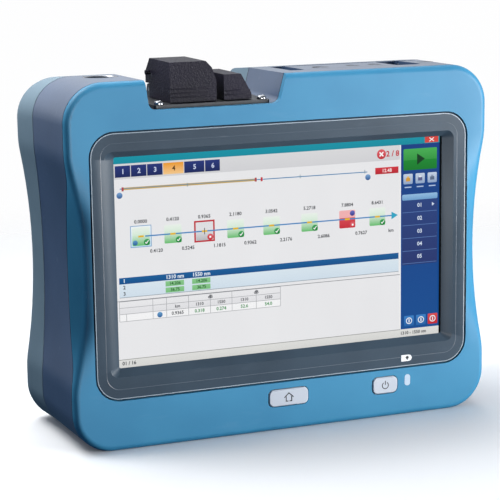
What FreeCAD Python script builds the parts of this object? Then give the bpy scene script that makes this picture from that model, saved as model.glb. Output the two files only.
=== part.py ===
import FreeCAD, Part
import math
import os
import re
import Sketcher

# A handheld fibre tester: a seven-inch touch screen in a blue front cover, a slate middle housing with
# the ports along its top, and a rear shell that holds the battery and a fold-out stand.
# X runs along the width, Y from the face (negative) to the back, Z up. The origin is the middle of the
# footprint that the tester stands on. "Depth" is always the distance behind the flat of the face.
# All lengths are millimetres.

Vector = FreeCAD.Vector
doc = FreeCAD.newDocument("FibreTester")
sizes = doc.addObject("Spreadsheet::Sheet", "Sizes")

DRIVING_SIZES = (
    # the whole housing
    ("back_width", 202.0),
    ("overall_depth", 68.0),
    ("body_height", 155.0),
    ("face_width", 191.5),
    ("seam_width", 196.0),
    ("seam_height", 154.2),
    ("back_height", 152.0),
    ("corner_radius", 17.0),
    ("wall", 2.6),
    ("plate_thick", 3.1),
    ("seam_gap", 0.6),
    ("seal_inset", 0.5),
    ("face_round", 2.8),
    ("back_round", 8.0),
    ("fit_gap", 0.3),
    # the hand grips: where the sides pinch in, and how far
    ("waist_centre", 76.0),
    ("waist_half", 52.0),
    ("waist_depth", 5.4),
    ("waist_depth_back", 4.4),
    ("waist_blend", 40.0),
    # the two seams between the housings, and how far each dips back at the grips
    ("front_seam", 3.4),
    ("front_seam_dip", 15.5),
    ("rear_seam", 43.0),
    ("rear_seam_dip", 6.0),
    ("dip_half", 50.0),
    ("dip_blend", 26.0),
    # the screen frame, its bevelled window, the glass and the display behind it
    ("frame_width", 172.0),
    ("frame_low", 22.0),
    ("frame_high", 134.7),
    ("frame_corner", 10.5),
    ("frame_set_back", 0.3),
    ("frame_bevel", 0.45),
    ("flange_back", 1.9),
    ("flange_lip", 5.0),
    ("skirt_back", 5.2),
    ("window_width", 150.2),
    ("window_low", 35.2),
    ("window_high", 124.0),
    ("window_corner", 0.8),
    ("bevel_side", 4.6),
    ("bevel_low", 3.3),
    ("bevel_high", 2.6),
    ("glass_front", 2.8),
    ("glass_margin", 2.6),
    ("glass_thick", 1.1),
    ("display_thick", 5.5),
    # the chassis plate, the shelf that carries it, and the boards
    ("chassis_thick", 1.2),
    ("chassis_width", 168.0),
    ("chassis_low", 7.0),
    ("chassis_high", 137.0),
    ("chassis_window_pitch", 47.0),
    ("chassis_window_width", 33.6),
    ("chassis_window_height", 61.6),
    ("shelf_thick", 2.4),
    ("shelf_width", 158.0),
    ("shelf_low", 18.0),
    ("shelf_high", 130.0),
    ("board_thick", 1.6),
    ("board_margin", 4.0),
    ("module_width", 54.0),
    ("module_low", 92.0),
    ("module_high", 127.0),
    ("module_thick", 24.0),
    # the keys under the screen
    ("key_centre", 14.9),
    ("key_height", 7.4),
    ("key_corner", 2.3),
    ("key_proud", 0.5),
    ("key_bevel", 0.4),
    ("key_gap", 0.35),
    ("key_flange", 1.2),
    ("key_travel", 0.6),
    ("home_width", 18.3),
    ("home_place", 0.0),
    ("power_key_width", 12.0),
    ("power_key_place", 46.2),
    ("light_place", 57.3),
    ("light_width", 2.8),
    ("light_height", 5.1),
    ("light_corner", 1.25),
    ("light_centre", 16.1),
    ("keypad_margin", 2.5),
    # the recess across the top that holds the fibre ports
    ("recess_floor", 142.7),
    ("recess_left", -60.0),
    ("recess_right", -2.6),
    ("recess_slope_left", 1.5),
    ("recess_slope_right", 3.4),
    ("recess_corner", 3.5),
    # the port plate and its screws
    ("port_plate_left", -56.6),
    ("port_plate_right", -5.4),
    ("port_plate_front", 3.6),
    ("port_plate_back", 41.0),
    ("port_plate_thick", 1.5),
    ("port_screw_inset", 2.8),
    ("port_screw_head", 2.1),
    ("port_screw_rise", 1.6),
    # the two dust caps, their hinges and the ports in them
    ("cap_front", 7.0),
    ("cap_back", 39.6),
    ("cap_wall", 2.2),
    ("cap_lift", 0.3),
    ("big_cap_left", -48.6),
    ("big_cap_right", -28.1),
    ("big_cap_top", 161.2),
    ("small_cap_left", -24.8),
    ("small_cap_right", -12.5),
    ("small_cap_top", 155.2),
    ("cap_pivot_inset", 2.7),
    ("cap_pivot_rise", 5.0),
    ("knuckle_radius", 2.4),
    ("cap_pin_radius", 0.9),
    ("pin_play", 0.05),
    ("ear_width", 2.2),
    ("fibre_port_width", 9.4),
    ("fibre_port_length", 12.8),
    ("fibre_port_height", 8.9),
    ("fibre_mouth_deep", 6.2),
    ("source_port_radius", 3.2),
    ("source_port_height", 5.6),
    ("ferrule_bore", 2.5),
    ("cap_roof", 3.4),
    ("cap_side", 3.2),
    ("small_cap_roof", 4.4),
    ("cap_slant", 6.0),
    ("shoulder_drop", 8.4),
    ("shoulder_step", 1.9),
    ("shoulder_run", 4.6),
    ("stud_radius", 1.0),
    # the power meter port at the top left
    ("meter_place", -71.0),
    ("meter_depth", 32.0),
    ("meter_recess_radius", 7.5),
    ("meter_recess_depth", 8.0),
    ("meter_barrel_radius", 5.8),
    ("meter_bore_radius", 4.7),
    ("meter_barrel_height", 6.4),
    # the doors at the top right, the sockets under them and the finger slots beside them
    ("door_front", 16.0),
    ("door_back", 40.2),
    ("door_thick", 2.2),
    ("door_gap", 0.3),
    ("door_pivot_drop", 1.7),
    ("door_knuckle", 1.5),
    ("door_pin_radius", 0.6),
    ("interface_door_left", 15.6),
    ("interface_door_right", 59.4),
    ("power_door_left", 71.4),
    ("power_door_right", 86.0),
    ("slot_left", 8.6),
    ("slot_front", 15.0),
    ("slot_back", 40.5),
    ("slot_deep", 6.0),
    ("deck_drop", 10.0),
    ("slot_corner", 1.5),
    ("socket_front", 19.0),
    ("network_place", 26.5),
    ("usb_place", 42.5),
    ("usb_pitch", 10.5),
    ("power_socket_place", 78.6),
    ("socket_deep", 15.0),
    ("socket_corner", 0.2),
    ("socket_mouth_deep", 10.0),
    ("network_socket_width", 16.0),
    ("network_socket_length", 13.4),
    ("network_mouth_width", 11.8),
    ("network_mouth_length", 8.0),
    ("usb_socket_width", 7.0),
    ("usb_socket_length", 14.4),
    ("usb_mouth_width", 5.2),
    ("usb_mouth_length", 12.4),
    ("power_socket_width", 9.0),
    ("power_socket_length", 11.0),
    ("power_mouth_width", 6.4),
    ("power_mouth_corner", 3.15),
    ("power_mouth_deep", 8.0),
    ("jack_relief_deep", 1.0),
    # the battery bay, its pack and its door
    ("bay_width", 92.0),
    ("bay_low", 27.0),
    ("bay_high", 80.0),
    ("bay_front", 46.0),
    ("bay_wall", 2.0),
    ("door_margin", 5.0),
    ("door_top_margin", 9.0),
    ("battery_door_thick", 2.6),
    ("battery_door_corner", 5.0),
    ("battery_gap", 0.6),
    # the fold-out stand
    ("stand_width", 131.0),
    ("stand_low", 9.5),
    ("stand_leg", 10.5),
    ("stand_bar", 9.5),
    ("stand_thick", 5.0),
    ("stand_set_in", 0.2),
    ("stand_pivot", 101.0),
    ("stand_corner", 4.5),
    ("stand_round", 2.49),
    ("stand_gap", 0.5),
    ("stand_pin_radius", 1.2),
    ("stand_pin_grip", 3.0),
    ("finger_width", 24.0),
    ("finger_deep", 6.0),
    # the screws that close the case
    ("case_screw_side", 83.0),
    ("case_screw_low", 18.0),
    ("case_screw_high", 124.0),
    ("case_screw_radius", 2.9),
    ("case_screw_sink", 3.0),
    ("case_screw_shank", 1.4),
    ("case_screw_reach", 10.4),
    ("screw_slot", 1.0),
    ("case_boss_radius", 4.2),
    ("back_plate", 8.0),
)
for row, (alias, number) in enumerate(DRIVING_SIZES, start=1):
    sizes.set(f"A{row}", alias.replace("_", " "))
    sizes.set(f"B{row}", str(number))
    sizes.setAlias(f"B{row}", alias)
doc.recompute()
ALIASES = {alias for alias, _ in DRIVING_SIZES}

# Places that several pieces share, as formulas on the sheet.
MIDDLE = "overall_depth / 2"
GLASS_BACK = "glass_front + glass_thick"
DISPLAY_BACK = f"({GLASS_BACK} + display_thick)"
CHASSIS_BACK = f"({DISPLAY_BACK} + chassis_thick)"
SHELF_BACK = f"({CHASSIS_BACK} + shelf_thick)"
BOARD_BACK = f"({SHELF_BACK} + board_thick)"
HOLLOW_BACK = "(overall_depth - back_plate)"
PLATE_TOP = "(recess_floor + port_plate_thick)"
CAP_FOOT = f"({PLATE_TOP} + cap_lift)"
CAP_PIVOT_DEPTH = "(cap_back - cap_pivot_inset)"
CAP_PIVOT_HEIGHT = "(recess_floor + cap_pivot_rise)"
DECK_TOP = "seam_height"
DOOR_PIVOT_DEPTH = "(door_back - door_knuckle)"
DOOR_PIVOT_HEIGHT = f"({DECK_TOP} - door_pivot_drop)"
STAND_BACK = "(overall_depth - stand_set_in)"
STAND_MIDDLE = f"({STAND_BACK} - stand_thick / 2)"


def bound(formula):
    """A formula on the sheet's names, written the way an expression wants them."""
    return re.sub(r"[a-z][a-z_0-9]*", lambda m: "Sizes." + m[0] if m[0] in ALIASES else m[0], formula)


def value(formula):
    """The number that a formula gives now."""
    return float(sizes.evalExpression(bound(formula)))


def behind_face(depth):
    """The Y of what lies so far behind the face."""
    return f"({depth}) - {MIDDLE}"


# ---- helpers for the document's objects -------------------------------------------------------------

def tie(thing, **formulas):
    """Bind properties of an object to formulas on the sheet."""
    for name, formula in formulas.items():
        thing.setExpression(name.replace("__", "."), bound(formula))


def place(thing, x="0", y="0", z="0"):
    tie(thing, Placement__Base__x=x, Placement__Base__y=y, Placement__Base__z=z)
    return thing


def new_body(name, base=None):
    made = doc.addObject("PartDesign::Body", name)
    made.Label = name
    if base is not None:
        made.BaseFeature = base
        doc.recompute()
    return made


def new_sketch(body, name, role, offset):
    """A sketch on one of the body's own planes, moved along that plane's normal."""
    made = body.newObject("Sketcher::SketchObject", name)
    plane = next(feature for feature in body.Origin.OriginFeatures if feature.Role == role)
    made.AttachmentSupport = [(plane, "")]
    made.MapMode = "FlatFace"
    tie(made, AttachmentOffset__Base__z=offset)
    return made


def facing(body, name, depth):
    """A sketch seen from the front (x is X, y is Z), so far behind the face. Its pad grows forwards."""
    return new_sketch(body, name, "XZ_Plane", f"{MIDDLE} - ({depth})")


def level(body, name, height):
    """A sketch seen from above (x is X, y is Y), at a height. Its pad grows upwards."""
    return new_sketch(body, name, "XY_Plane", height)


def sideways(body, name, x="0"):
    """A sketch seen from the side (x is Y, y is Z). Its pad grows along X."""
    return new_sketch(body, name, "YZ_Plane", x)


def bind(sketch, kind, *where, formula, label):
    """Add a constraint of a named kind whose value follows a formula."""
    number = sketch.addConstraint(Sketcher.Constraint(kind, *where, value(formula)))
    sketch.renameConstraint(number, label)
    sketch.setExpression("Constraints." + label, bound(formula))


def rounded_rectangle(sketch, left, right, low, high, radius):
    """Four sides and four equal corner arcs, held by their edges and the corner radius."""
    x0, x1, y0, y1, r = (value(formula) for formula in (left, right, low, high, radius))
    centres = ((x1 - r, y0 + r), (x1 - r, y1 - r), (x0 + r, y1 - r), (x0 + r, y0 + r))
    first = sketch.GeometryCount
    for turn, (x, y) in enumerate(centres):
        start = (turn - 1) * math.pi / 2
        circle = Part.Circle(Vector(x, y, 0), Vector(0, 0, 1), r)
        sketch.addGeometry(Part.ArcOfCircle(circle, start, start + math.pi / 2), False)
    for turn, (x, y) in enumerate(centres):
        angle = turn * math.pi / 2
        nx, ny = centres[(turn + 1) % 4]
        reach = Vector(math.cos(angle) * r, math.sin(angle) * r, 0)
        sketch.addGeometry(Part.LineSegment(Vector(x, y, 0) + reach, Vector(nx, ny, 0) + reach), False)
    for turn in range(4):
        arc, line = first + turn, first + 4 + turn
        following = first + (turn + 1) % 4
        sketch.addConstraint(Sketcher.Constraint("Tangent", arc, 2, line, 1))
        sketch.addConstraint(Sketcher.Constraint("Tangent", line, 2, following, 1))
        sketch.addConstraint(Sketcher.Constraint("Vertical" if turn % 2 == 0 else "Horizontal", line))
    for turn in range(1, 4):
        sketch.addConstraint(Sketcher.Constraint("Equal", first, first + turn))
    tag = f"box{first}_"
    bind(sketch, "Radius", first, formula=radius, label=tag + "corner")
    bind(sketch, "DistanceX", -1, 1, first + 4, 1, formula=right, label=tag + "right")
    bind(sketch, "DistanceX", -1, 1, first + 6, 1, formula=left, label=tag + "left")
    bind(sketch, "DistanceY", -1, 1, first + 5, 1, formula=high, label=tag + "high")
    bind(sketch, "DistanceY", -1, 1, first + 7, 1, formula=low, label=tag + "low")
    return sketch


def rounded_square(sketch, x, y, width, height, radius):
    """A rounded rectangle given by its middle and its two sizes."""
    return rounded_rectangle(sketch, f"{x} - ({width}) / 2", f"{x} + ({width}) / 2",
                             f"{y} - ({height}) / 2", f"{y} + ({height}) / 2", radius)


def circle(sketch, x, y, radius):
    form = Part.Circle(Vector(value(x), value(y), 0), Vector(0, 0, 1), value(radius))
    number = sketch.addGeometry(form, False)
    tag = f"round{number}_"
    bind(sketch, "Radius", number, formula=radius, label=tag + "radius")
    bind(sketch, "DistanceX", -1, 1, number, 3, formula=x, label=tag + "across")
    bind(sketch, "DistanceY", -1, 1, number, 3, formula=y, label=tag + "up")
    return sketch


def outline(sketch, corners):
    """A closed outline, counterclockwise. A corner is (x, y), or (x, y, radius, side) where an arc
    leads on to the next one: side 1 bulges outwards and side -1 inwards."""
    points = [Vector(value(corner[0]), value(corner[1]), 0) for corner in corners]
    starts = []
    first = sketch.GeometryCount
    for number, corner in enumerate(corners):
        here, there = points[number], points[(number + 1) % len(corners)]
        if len(corner) == 2:
            sketch.addGeometry(Part.LineSegment(here, there), False)
            starts.append((1, 2))
            continue
        radius, side = value(corner[2]), corner[3]
        chord = there - here
        lift = math.sqrt(radius ** 2 - chord.Length ** 2 / 4)
        middle = (here + there) * 0.5 + Vector(-chord.y, chord.x, 0) * (side * lift / chord.Length)
        begin, end = (here, there) if side > 0 else (there, here)
        angles = [math.atan2(point.y - middle.y, point.x - middle.x) for point in (begin, end)]
        if angles[1] < angles[0]:
            angles[1] += 2 * math.pi
        sketch.addGeometry(Part.ArcOfCircle(Part.Circle(middle, Vector(0, 0, 1), radius), *angles), False)
        starts.append((1, 2) if side > 0 else (2, 1))
    for number, corner in enumerate(corners):
        following = (number + 1) % len(corners)
        sketch.addConstraint(Sketcher.Constraint(
            "Coincident", first + number, starts[number][1], first + following, starts[following][0]))
        tag = f"corner{first + number}_"
        start = (-1, 1, first + number, starts[number][0])
        bind(sketch, "DistanceX", *start, formula=corner[0], label=tag + "across")
        bind(sketch, "DistanceY", *start, formula=corner[1], label=tag + "up")
        if len(corner) > 2:
            bind(sketch, "Radius", first + number, formula=corner[2], label=tag + "radius")
    return sketch


def pad(body, name, sketch, length, reverse=False, both=False):
    made = body.newObject("PartDesign::Pad", name)
    made.Profile = sketch
    made.Reversed = reverse
    made.Midplane = both
    tie(made, Length=length)
    doc.recompute()
    return made


def pocket(body, name, sketch, length, reverse=False, both=False):
    """Cut a sketch's outline into the body, and make sure that it met the solid."""
    before = body.Shape.Volume
    made = body.newObject("PartDesign::Pocket", name)
    made.Profile = sketch
    made.Reversed = reverse
    made.Midplane = both
    tie(made, Length=length)
    doc.recompute()
    if body.Shape.Volume > before - 1e-3:
        raise RuntimeError(f"{name} cut nothing")
    return made


def soften(body, name, radius, chosen, kind="Fillet"):
    """Round or bevel the edges that a test picks from the body's last feature."""
    base = body.Tip
    edges = [f"Edge{number}" for number, edge in enumerate(base.Shape.Edges, 1) if chosen(edge)]
    if not edges:
        raise RuntimeError(f"{name} found no edges")
    made = body.newObject("PartDesign::" + kind, name)
    made.Base = (base, edges)
    tie(made, **{"Radius" if kind == "Fillet" else "Size": radius})
    doc.recompute()
    return made


def lies_at(edge, axis, place_there, slack=0.02):
    """Whether an edge lies in the plane at a place on an axis."""
    box = edge.BoundBox
    low, high = getattr(box, axis + "Min"), getattr(box, axis + "Max")
    return abs(low - place_there) < slack and abs(high - place_there) < slack


def loft_cut(body, name, sketches):
    """Take away what lies between two outlines."""
    before = body.Shape.Volume
    made = body.newObject("PartDesign::SubtractiveLoft", name)
    made.Profile = sketches[0]
    made.Sections = sketches[1:]
    made.Ruled = True
    doc.recompute()
    if body.Shape.Volume > before - 1e-3:
        raise RuntimeError(f"{name} cut nothing")
    return made


def box(name, left, right, front, back, low, high):
    """A plain block between two places on each axis, with its front and back as depths."""
    made = doc.addObject("Part::Box", name)
    tie(made, Length=f"({right}) - ({left})", Width=f"({back}) - ({front})", Height=f"({high}) - ({low})")
    return place(made, left, behind_face(front), low)


def cylinder(name, radius, length, x, y, z, axis="Z"):
    """A round bar that starts at a place and runs along an axis."""
    made = doc.addObject("Part::Cylinder", name)
    tie(made, Radius=radius, Height=length)
    place(made, x, y, z)
    turns = {"X": (Vector(0, 1, 0), 90), "Y": (Vector(1, 0, 0), -90)}
    if axis in turns:
        made.Placement.Rotation = FreeCAD.Rotation(*turns[axis])
    return made


def combine(kind, name, base, *others):
    """Fuse, cut or intersect objects of the document."""
    tools = list(others)
    if kind == "Fuse":
        made = doc.addObject("Part::MultiFuse", name)
        made.Shapes = [base] + tools
    elif kind == "Common":
        made = doc.addObject("Part::Common", name)
        made.Base, made.Tool = base, tools[0]
    else:
        tool = tools[0]
        if len(tools) > 1:
            tool = combine("Fuse", name + "_tools", *tools)
        made = doc.addObject("Part::Cut", name)
        made.Base, made.Tool = base, tool
    made.Label = name
    doc.recompute()
    return made


pieces = []


def piece(made, name):
    """Take a finished object as the sub-part of that name."""
    made.Label = name
    pieces.append(made)
    return made


# ---- the envelope of the whole case ------------------------------------------------------------------

def pinch(depth, half, blend):
    """The sum of a hollow curve's two radii, and the share of it that the blend takes."""
    total = f"((({half}) ^ 2 + ({depth}) ^ 2) / (2 * ({depth})))"
    return total, f"(({blend}) / {total})"


def case_outline(sketch, half_width, height, depth, inset="0"):
    """The case seen from the front: rounded corners, and a shallow hand grip in each side."""
    side = f"({half_width} - {inset})"
    radius = f"(corner_radius - {inset})"
    blend = f"(waist_blend - {inset})"
    low, high = f"({inset})", f"({height} - {inset})"
    total, share = pinch(depth, "waist_half", blend)
    hollow = f"({total} - {blend})"
    tangent = f"({side} - {blend} + ({total} - {depth}) * {share})"
    rise = f"(waist_half * (1 - {share}))"
    right = [
        (f"{side} - {radius}", low, radius, 1),
        (side, f"{low} + {radius}"),
        (side, "waist_centre - waist_half", blend, 1),
        (tangent, f"waist_centre - {rise}", hollow, -1),
        (tangent, f"waist_centre + {rise}", blend, 1),
        (side, "waist_centre + waist_half"),
        (side, f"{high} - {radius}", radius, 1),
        (f"{side} - {radius}", high),
    ]
    left = []
    for number, corner in enumerate(reversed(right)):
        before = right[len(right) - 2 - number] if number < len(right) - 1 else None
        arc = before[2:] if before is not None and len(before) > 2 else ()
        left.append((f"-({corner[0]})", corner[1], *arc))
    return outline(sketch, right + left)


FACE_STRIPS = 4
BACK_STRIPS = 5
QUARTER = 90
SECTIONS = (
    ("face_width / 2", "body_height", "waist_depth"),
    ("seam_width / 2", "seam_height", "(waist_depth + waist_depth_back) / 2"),
    ("back_width / 2", "back_height", "waist_depth_back"),
)


def form_at(depth, ahead):
    """The half width, height and grip depth at a depth ahead of the rear seam, or behind it."""
    first, last = SECTIONS[:2] if ahead else SECTIONS[1:]
    share = f"({depth}) / rear_seam" if ahead else f"(({depth}) - rear_seam) / (overall_depth - rear_seam)"
    return [f"({low} + (({high}) - ({low})) * {share})" for low, high in zip(first, last)]


def cross_section(name, depth, ahead, inset="0"):
    """One outline of the case, at a depth."""
    sketch = doc.addObject("Sketcher::SketchObject", name)
    sketch.Placement.Rotation = FreeCAD.Rotation(Vector(1, 0, 0), 90)
    place(sketch, y=behind_face(depth))
    return case_outline(sketch, *form_at(depth, ahead), inset)


def loft(name, sections):
    """A solid with straight runs from each outline to the next."""
    made = doc.addObject("Part::Loft", name)
    made.Sections = sections
    made.Solid = True
    made.Ruled = True
    doc.recompute()
    return made


def case_loft(name, front="0", back="overall_depth", inset="0"):
    """The case's sides, from one depth to another."""
    sections = [
        cross_section(name + "_front", front, True, inset),
        cross_section(name + "_middle", "rear_seam", True, inset),
        cross_section(name + "_back", back, False, inset),
    ]
    return loft(name, sections)


def rounded_end(name, first, radius, ahead, strips):
    """The round between the sides and the face, or the back: outlines along a quarter circle."""
    sections = [first]
    for number in range(1, strips + 1):
        angle = math.radians(QUARTER * number / strips)
        inward, outward = 1 - math.cos(angle), 1 - math.sin(angle)
        depth = f"{radius} * {outward:.6f}" if ahead else f"overall_depth - {radius} * {outward:.6f}"
        sections.append(cross_section(f"{name}_{number}", depth, ahead, f"{radius} * {inward:.6f}"))
    return loft(name, sections)


def seam_block(name, seam, dip, ahead):
    """All that lies ahead of a seam, or behind it. The seam dips back where the hands hold the case."""
    body = new_body(name)
    sketch = sideways(body, name + "_profile")
    line = f"({behind_face(seam)})"
    total, share = pinch(dip, "dip_half", "dip_blend")
    tangent = f"({line} + dip_blend - ({total} - {dip}) * {share})"
    rise = f"(dip_half * (1 - {share}))"
    below, above = "-overall_depth", "body_height + overall_depth"
    side = 1 if ahead else -1
    end = f"{-side} * 2 * overall_depth"
    curve = [
        (line, "waist_centre - dip_half", "dip_blend", -side),
        (tangent, f"waist_centre - {rise}", f"{total} - dip_blend", side),
        (tangent, f"waist_centre + {rise}", "dip_blend", -side),
        (line, "waist_centre + dip_half"),
    ]
    if ahead:
        corners = [(end, below), (line, below), *curve, (line, above), (end, above)]
    else:
        turned = [curve[number][:2] + curve[number - 1][2:] for number in (3, 2, 1)]
        down = [*turned, curve[0][:2]]
        corners = [(end, above), (line, above), *down, (line, below), (end, below)]
    outline(sketch, corners)
    pad(body, name + "_pad", sketch, "2 * back_width", both=True)
    return body


sides = case_loft("case_sides", "face_round", "overall_depth - back_round")
face_edge = rounded_end("face_edge", sides.Sections[0], "face_round", True, FACE_STRIPS)
back_edge = rounded_end("back_edge", sides.Sections[-1], "back_round", False, BACK_STRIPS)
envelope = combine("Fuse", "envelope", sides, face_edge, back_edge)
ahead_of_front = seam_block("ahead_of_front_seam", "front_seam - seam_gap / 2", "front_seam_dip", True)
up_to_middle = seam_block("up_to_middle", "front_seam + seam_gap / 2", "front_seam_dip", True)
behind_rear = seam_block("behind_rear_seam", "rear_seam + seam_gap / 2", "rear_seam_dip", False)
from_middle = seam_block("from_middle", "rear_seam - seam_gap / 2", "rear_seam_dip", False)

# ---- the recess across the top, and the hollow inside the case --------------------------------------

ABOVE = "(body_height + wall)"
BAY_SIDE = "bay_width / 2"
DOOR_FLOOR = f"({DECK_TOP} - door_thick - door_gap)"
METER_FLOOR = f"({DECK_TOP} - meter_recess_depth)"


def make_recess():
    """The open channel that the fibre ports stand in, with sloped ends."""
    body = new_body("recess")
    stretch = f"(({ABOVE} - recess_floor) / (body_height - recess_floor))"
    sketch = facing(body, "recess_outline", "2 * overall_depth")
    outline(sketch, [
        ("recess_left", "recess_floor"), ("recess_right", "recess_floor"),
        (f"recess_right + recess_slope_right * {stretch}", ABOVE),
        (f"recess_left - recess_slope_left * {stretch}", ABOVE),
    ])
    pad(body, "recess_pad", sketch, "3 * overall_depth")
    floor = value("recess_floor")
    ends = (value("recess_left"), value("recess_right"))
    soften(body, "recess_corners", "recess_corner",
           lambda edge: lies_at(edge, "Z", floor) and any(lies_at(edge, "X", end) for end in ends))
    return body


def make_hollow():
    """The inside of the case: its form less the wall, and less what the walls of the recess, the deck
    under the doors and the boss under the meter port take up."""
    reach = box("hollow_reach", "-back_width", "back_width", "plate_thick", HOLLOW_BACK,
                "-wall", ABOVE)
    room = combine("Common", "hollow_room", case_loft("hollow_form", inset="wall"), reach)
    kept = [
        box("recess_walls", "recess_left - recess_slope_left - wall",
            "recess_right + recess_slope_right + wall",
            "0", "overall_depth", "recess_floor - wall", ABOVE),
        box("deck_block", "slot_left - wall", "power_door_right + wall", "0", "slot_back + 2 * wall",
            f"{DECK_TOP} - deck_drop", ABOVE),
        cylinder("meter_block", "meter_recess_radius + wall", "meter_recess_depth + wall", "meter_place",
                 behind_face("meter_depth"), f"{METER_FLOOR} - wall"),
    ]
    return combine("Cut", "hollow", room, *kept)


recess = make_recess()
hollow = make_hollow()


# ---- front cover, screen frame, glass and display ---------------------------------------------------

SKIRT = ("-frame_width / 2 + flange_lip", "frame_width / 2 - flange_lip",
         "frame_low + flange_lip", "frame_high - flange_lip")
GLASS = ("-window_width / 2 - glass_margin", "window_width / 2 + glass_margin",
         "window_low - glass_margin", "window_high + glass_margin")


def grown(edges, gap):
    """The edges of a rectangle moved outwards by a gap, or inwards where the gap is negative."""
    return tuple(f"{edge} {sign} ({gap})" for edge, sign in zip(edges, "-+-+"))


def make_front_cover():
    blank = combine("Common", "front_cover_skin", envelope, ahead_of_front)
    blank = combine("Cut", "front_cover_blank", blank, hollow, recess)
    body = new_body("front_cover", blank)
    frame = ("-frame_width / 2", "frame_width / 2", "frame_low", "frame_high")
    rebate = facing(body, "frame_rebate", "-wall")
    rounded_rectangle(rebate, *grown(frame, "fit_gap"), "frame_corner + fit_gap")
    pocket(body, "frame_rebate_cut", rebate, "flange_back + wall")
    opening = facing(body, "skirt_opening", "0")
    rounded_rectangle(opening, *grown(SKIRT, "fit_gap"), "frame_corner - flange_lip + fit_gap")
    pocket(body, "skirt_opening_cut", opening, "plate_thick + fit_gap")
    holes = facing(body, "key_holes", "-wall")
    for place_there, width in (("home_place", "home_width"), ("power_key_place", "power_key_width")):
        rounded_square(holes, place_there, "key_centre", f"{width} + 2 * key_gap",
                       "key_height + 2 * key_gap", "key_corner + key_gap")
    rounded_square(holes, "light_place", "light_centre", "light_width", "light_height", "light_corner")
    pocket(body, "key_holes_cut", holes, "plate_thick + 2 * wall")
    return piece(body, "front_cover")


def make_screen_frame():
    """A flange that lies in the cover, a bevel down to the window, and a skirt that holds the glass."""
    body = new_body("screen_frame")
    flange = facing(body, "flange_outline", "flange_back")
    rounded_rectangle(flange, "-frame_width / 2", "frame_width / 2", "frame_low", "frame_high",
                      "frame_corner")
    pad(body, "flange", flange, "flange_back - frame_set_back")
    skirt = facing(body, "skirt_outline", "skirt_back")
    rounded_rectangle(skirt, *SKIRT, "frame_corner - flange_lip")
    pad(body, "skirt", skirt, "skirt_back - frame_set_back")
    front = value(behind_face("frame_set_back"))
    soften(body, "frame_edge", "frame_bevel", lambda edge: lies_at(edge, "Y", front), "Chamfer")
    seat = facing(body, "glass_seat", "skirt_back")
    rounded_rectangle(seat, *grown(GLASS, "fit_gap"), "window_corner + glass_margin")
    pocket(body, "glass_seat_cut", seat, "skirt_back - glass_front", reverse=True)
    outer = facing(body, "bevel_edge", "frame_set_back")
    rounded_rectangle(outer, "-window_width / 2 - bevel_side", "window_width / 2 + bevel_side",
                      "window_low - bevel_low", "window_high + bevel_high", "window_corner + bevel_high")
    inner = facing(body, "window_edge", "glass_front")
    rounded_rectangle(inner, "-window_width / 2", "window_width / 2", "window_low", "window_high",
                      "window_corner")
    loft_cut(body, "bevel", [outer, inner])
    return piece(body, "screen_frame")


def plate(name, edges, radius, front, back):
    """A flat piece with rounded corners that faces the front."""
    body = new_body(name)
    sketch = facing(body, name + "_outline", back)
    rounded_rectangle(sketch, *edges, radius)
    pad(body, name + "_pad", sketch, f"{back} - ({front})")
    return body


def make_screen():
    piece(plate("touch_glass", GLASS, "window_corner + glass_margin - fit_gap", "glass_front", GLASS_BACK),
          "touch_glass")
    display = plate("display_panel", grown(GLASS, "-fit_gap"), "window_corner", GLASS_BACK, DISPLAY_BACK)
    piece(display, "display_panel")


def make_chassis():
    """The aluminium plate behind the display, with windows that lighten it."""
    edges = ("-chassis_width / 2", "chassis_width / 2", "chassis_low", "chassis_high")
    body = plate("chassis_plate", edges, "frame_corner", DISPLAY_BACK, CHASSIS_BACK)
    windows = facing(body, "chassis_windows", CHASSIS_BACK)
    for column in (-1, 0, 1):
        rounded_square(windows, f"{column} * chassis_window_pitch", "(chassis_low + chassis_high) / 2",
                       "chassis_window_width", "chassis_window_height", "frame_corner / 2")
    pocket(body, "chassis_windows_cut", windows, "2 * chassis_thick", both=True)
    return piece(body, "chassis_plate")


def make_seals():
    """The dark rubber seals that fill the two seams, set in a little from the case's surface."""
    form = combine("Cut", "seal_ring", case_loft("seal_form", inset="seal_inset"), hollow, recess)
    for name, reached, left_out in (("front_seal", up_to_middle, ahead_of_front),
                                    ("rear_seal", from_middle, behind_rear)):
        band = combine("Common", name + "_band", form, reached)
        piece(combine("Cut", name + "_solid", band, left_out), name)


# ---- middle housing ---------------------------------------------------------------------------------

CASE_SCREWS = [(f"{side} * case_screw_side", height) for side in (-1, 1)
               for height in ("case_screw_low", "case_screw_high")]


def rings(name, radius, bore, front, back):
    """The round bosses for the case screws, between two depths."""
    posts = []
    for number, (x, z) in enumerate(CASE_SCREWS):
        posts.append(cylinder(f"{name}_{number}", radius, f"{back} - ({front})", x, behind_face(front), z,
                              "Y"))
    return posts


def make_shelf():
    """A flange inside the middle housing: the chassis lies on its front, the main board on its back.
    Where the front cover reaches back at the grips it stays clear of the cover's wall."""
    inside = new_body("shelf_inside")
    sketch = facing(inside, "shelf_inside_outline", SHELF_BACK)
    case_outline(sketch, "face_width / 2", "body_height", "waist_depth", "wall + fit_gap")
    pad(inside, "shelf_inside_pad", sketch, "shelf_thick")
    rooted = new_body("shelf_rooted")
    sketch = facing(rooted, "shelf_rooted_outline", SHELF_BACK)
    case_outline(sketch, "face_width / 2", "body_height", "waist_depth", "wall / 2")
    pad(rooted, "shelf_rooted_pad", sketch, "shelf_thick")
    rooted_part = combine("Cut", "shelf_edge", rooted, up_to_middle)
    middle = plate("shelf_opening", ("-shelf_width / 2", "shelf_width / 2", "shelf_low", "shelf_high"),
                   "frame_corner", CHASSIS_BACK + " - shelf_thick", SHELF_BACK + " + shelf_thick")
    return combine("Cut", "shelf", combine("Fuse", "shelf_solid", inside, rooted_part), middle)


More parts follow.
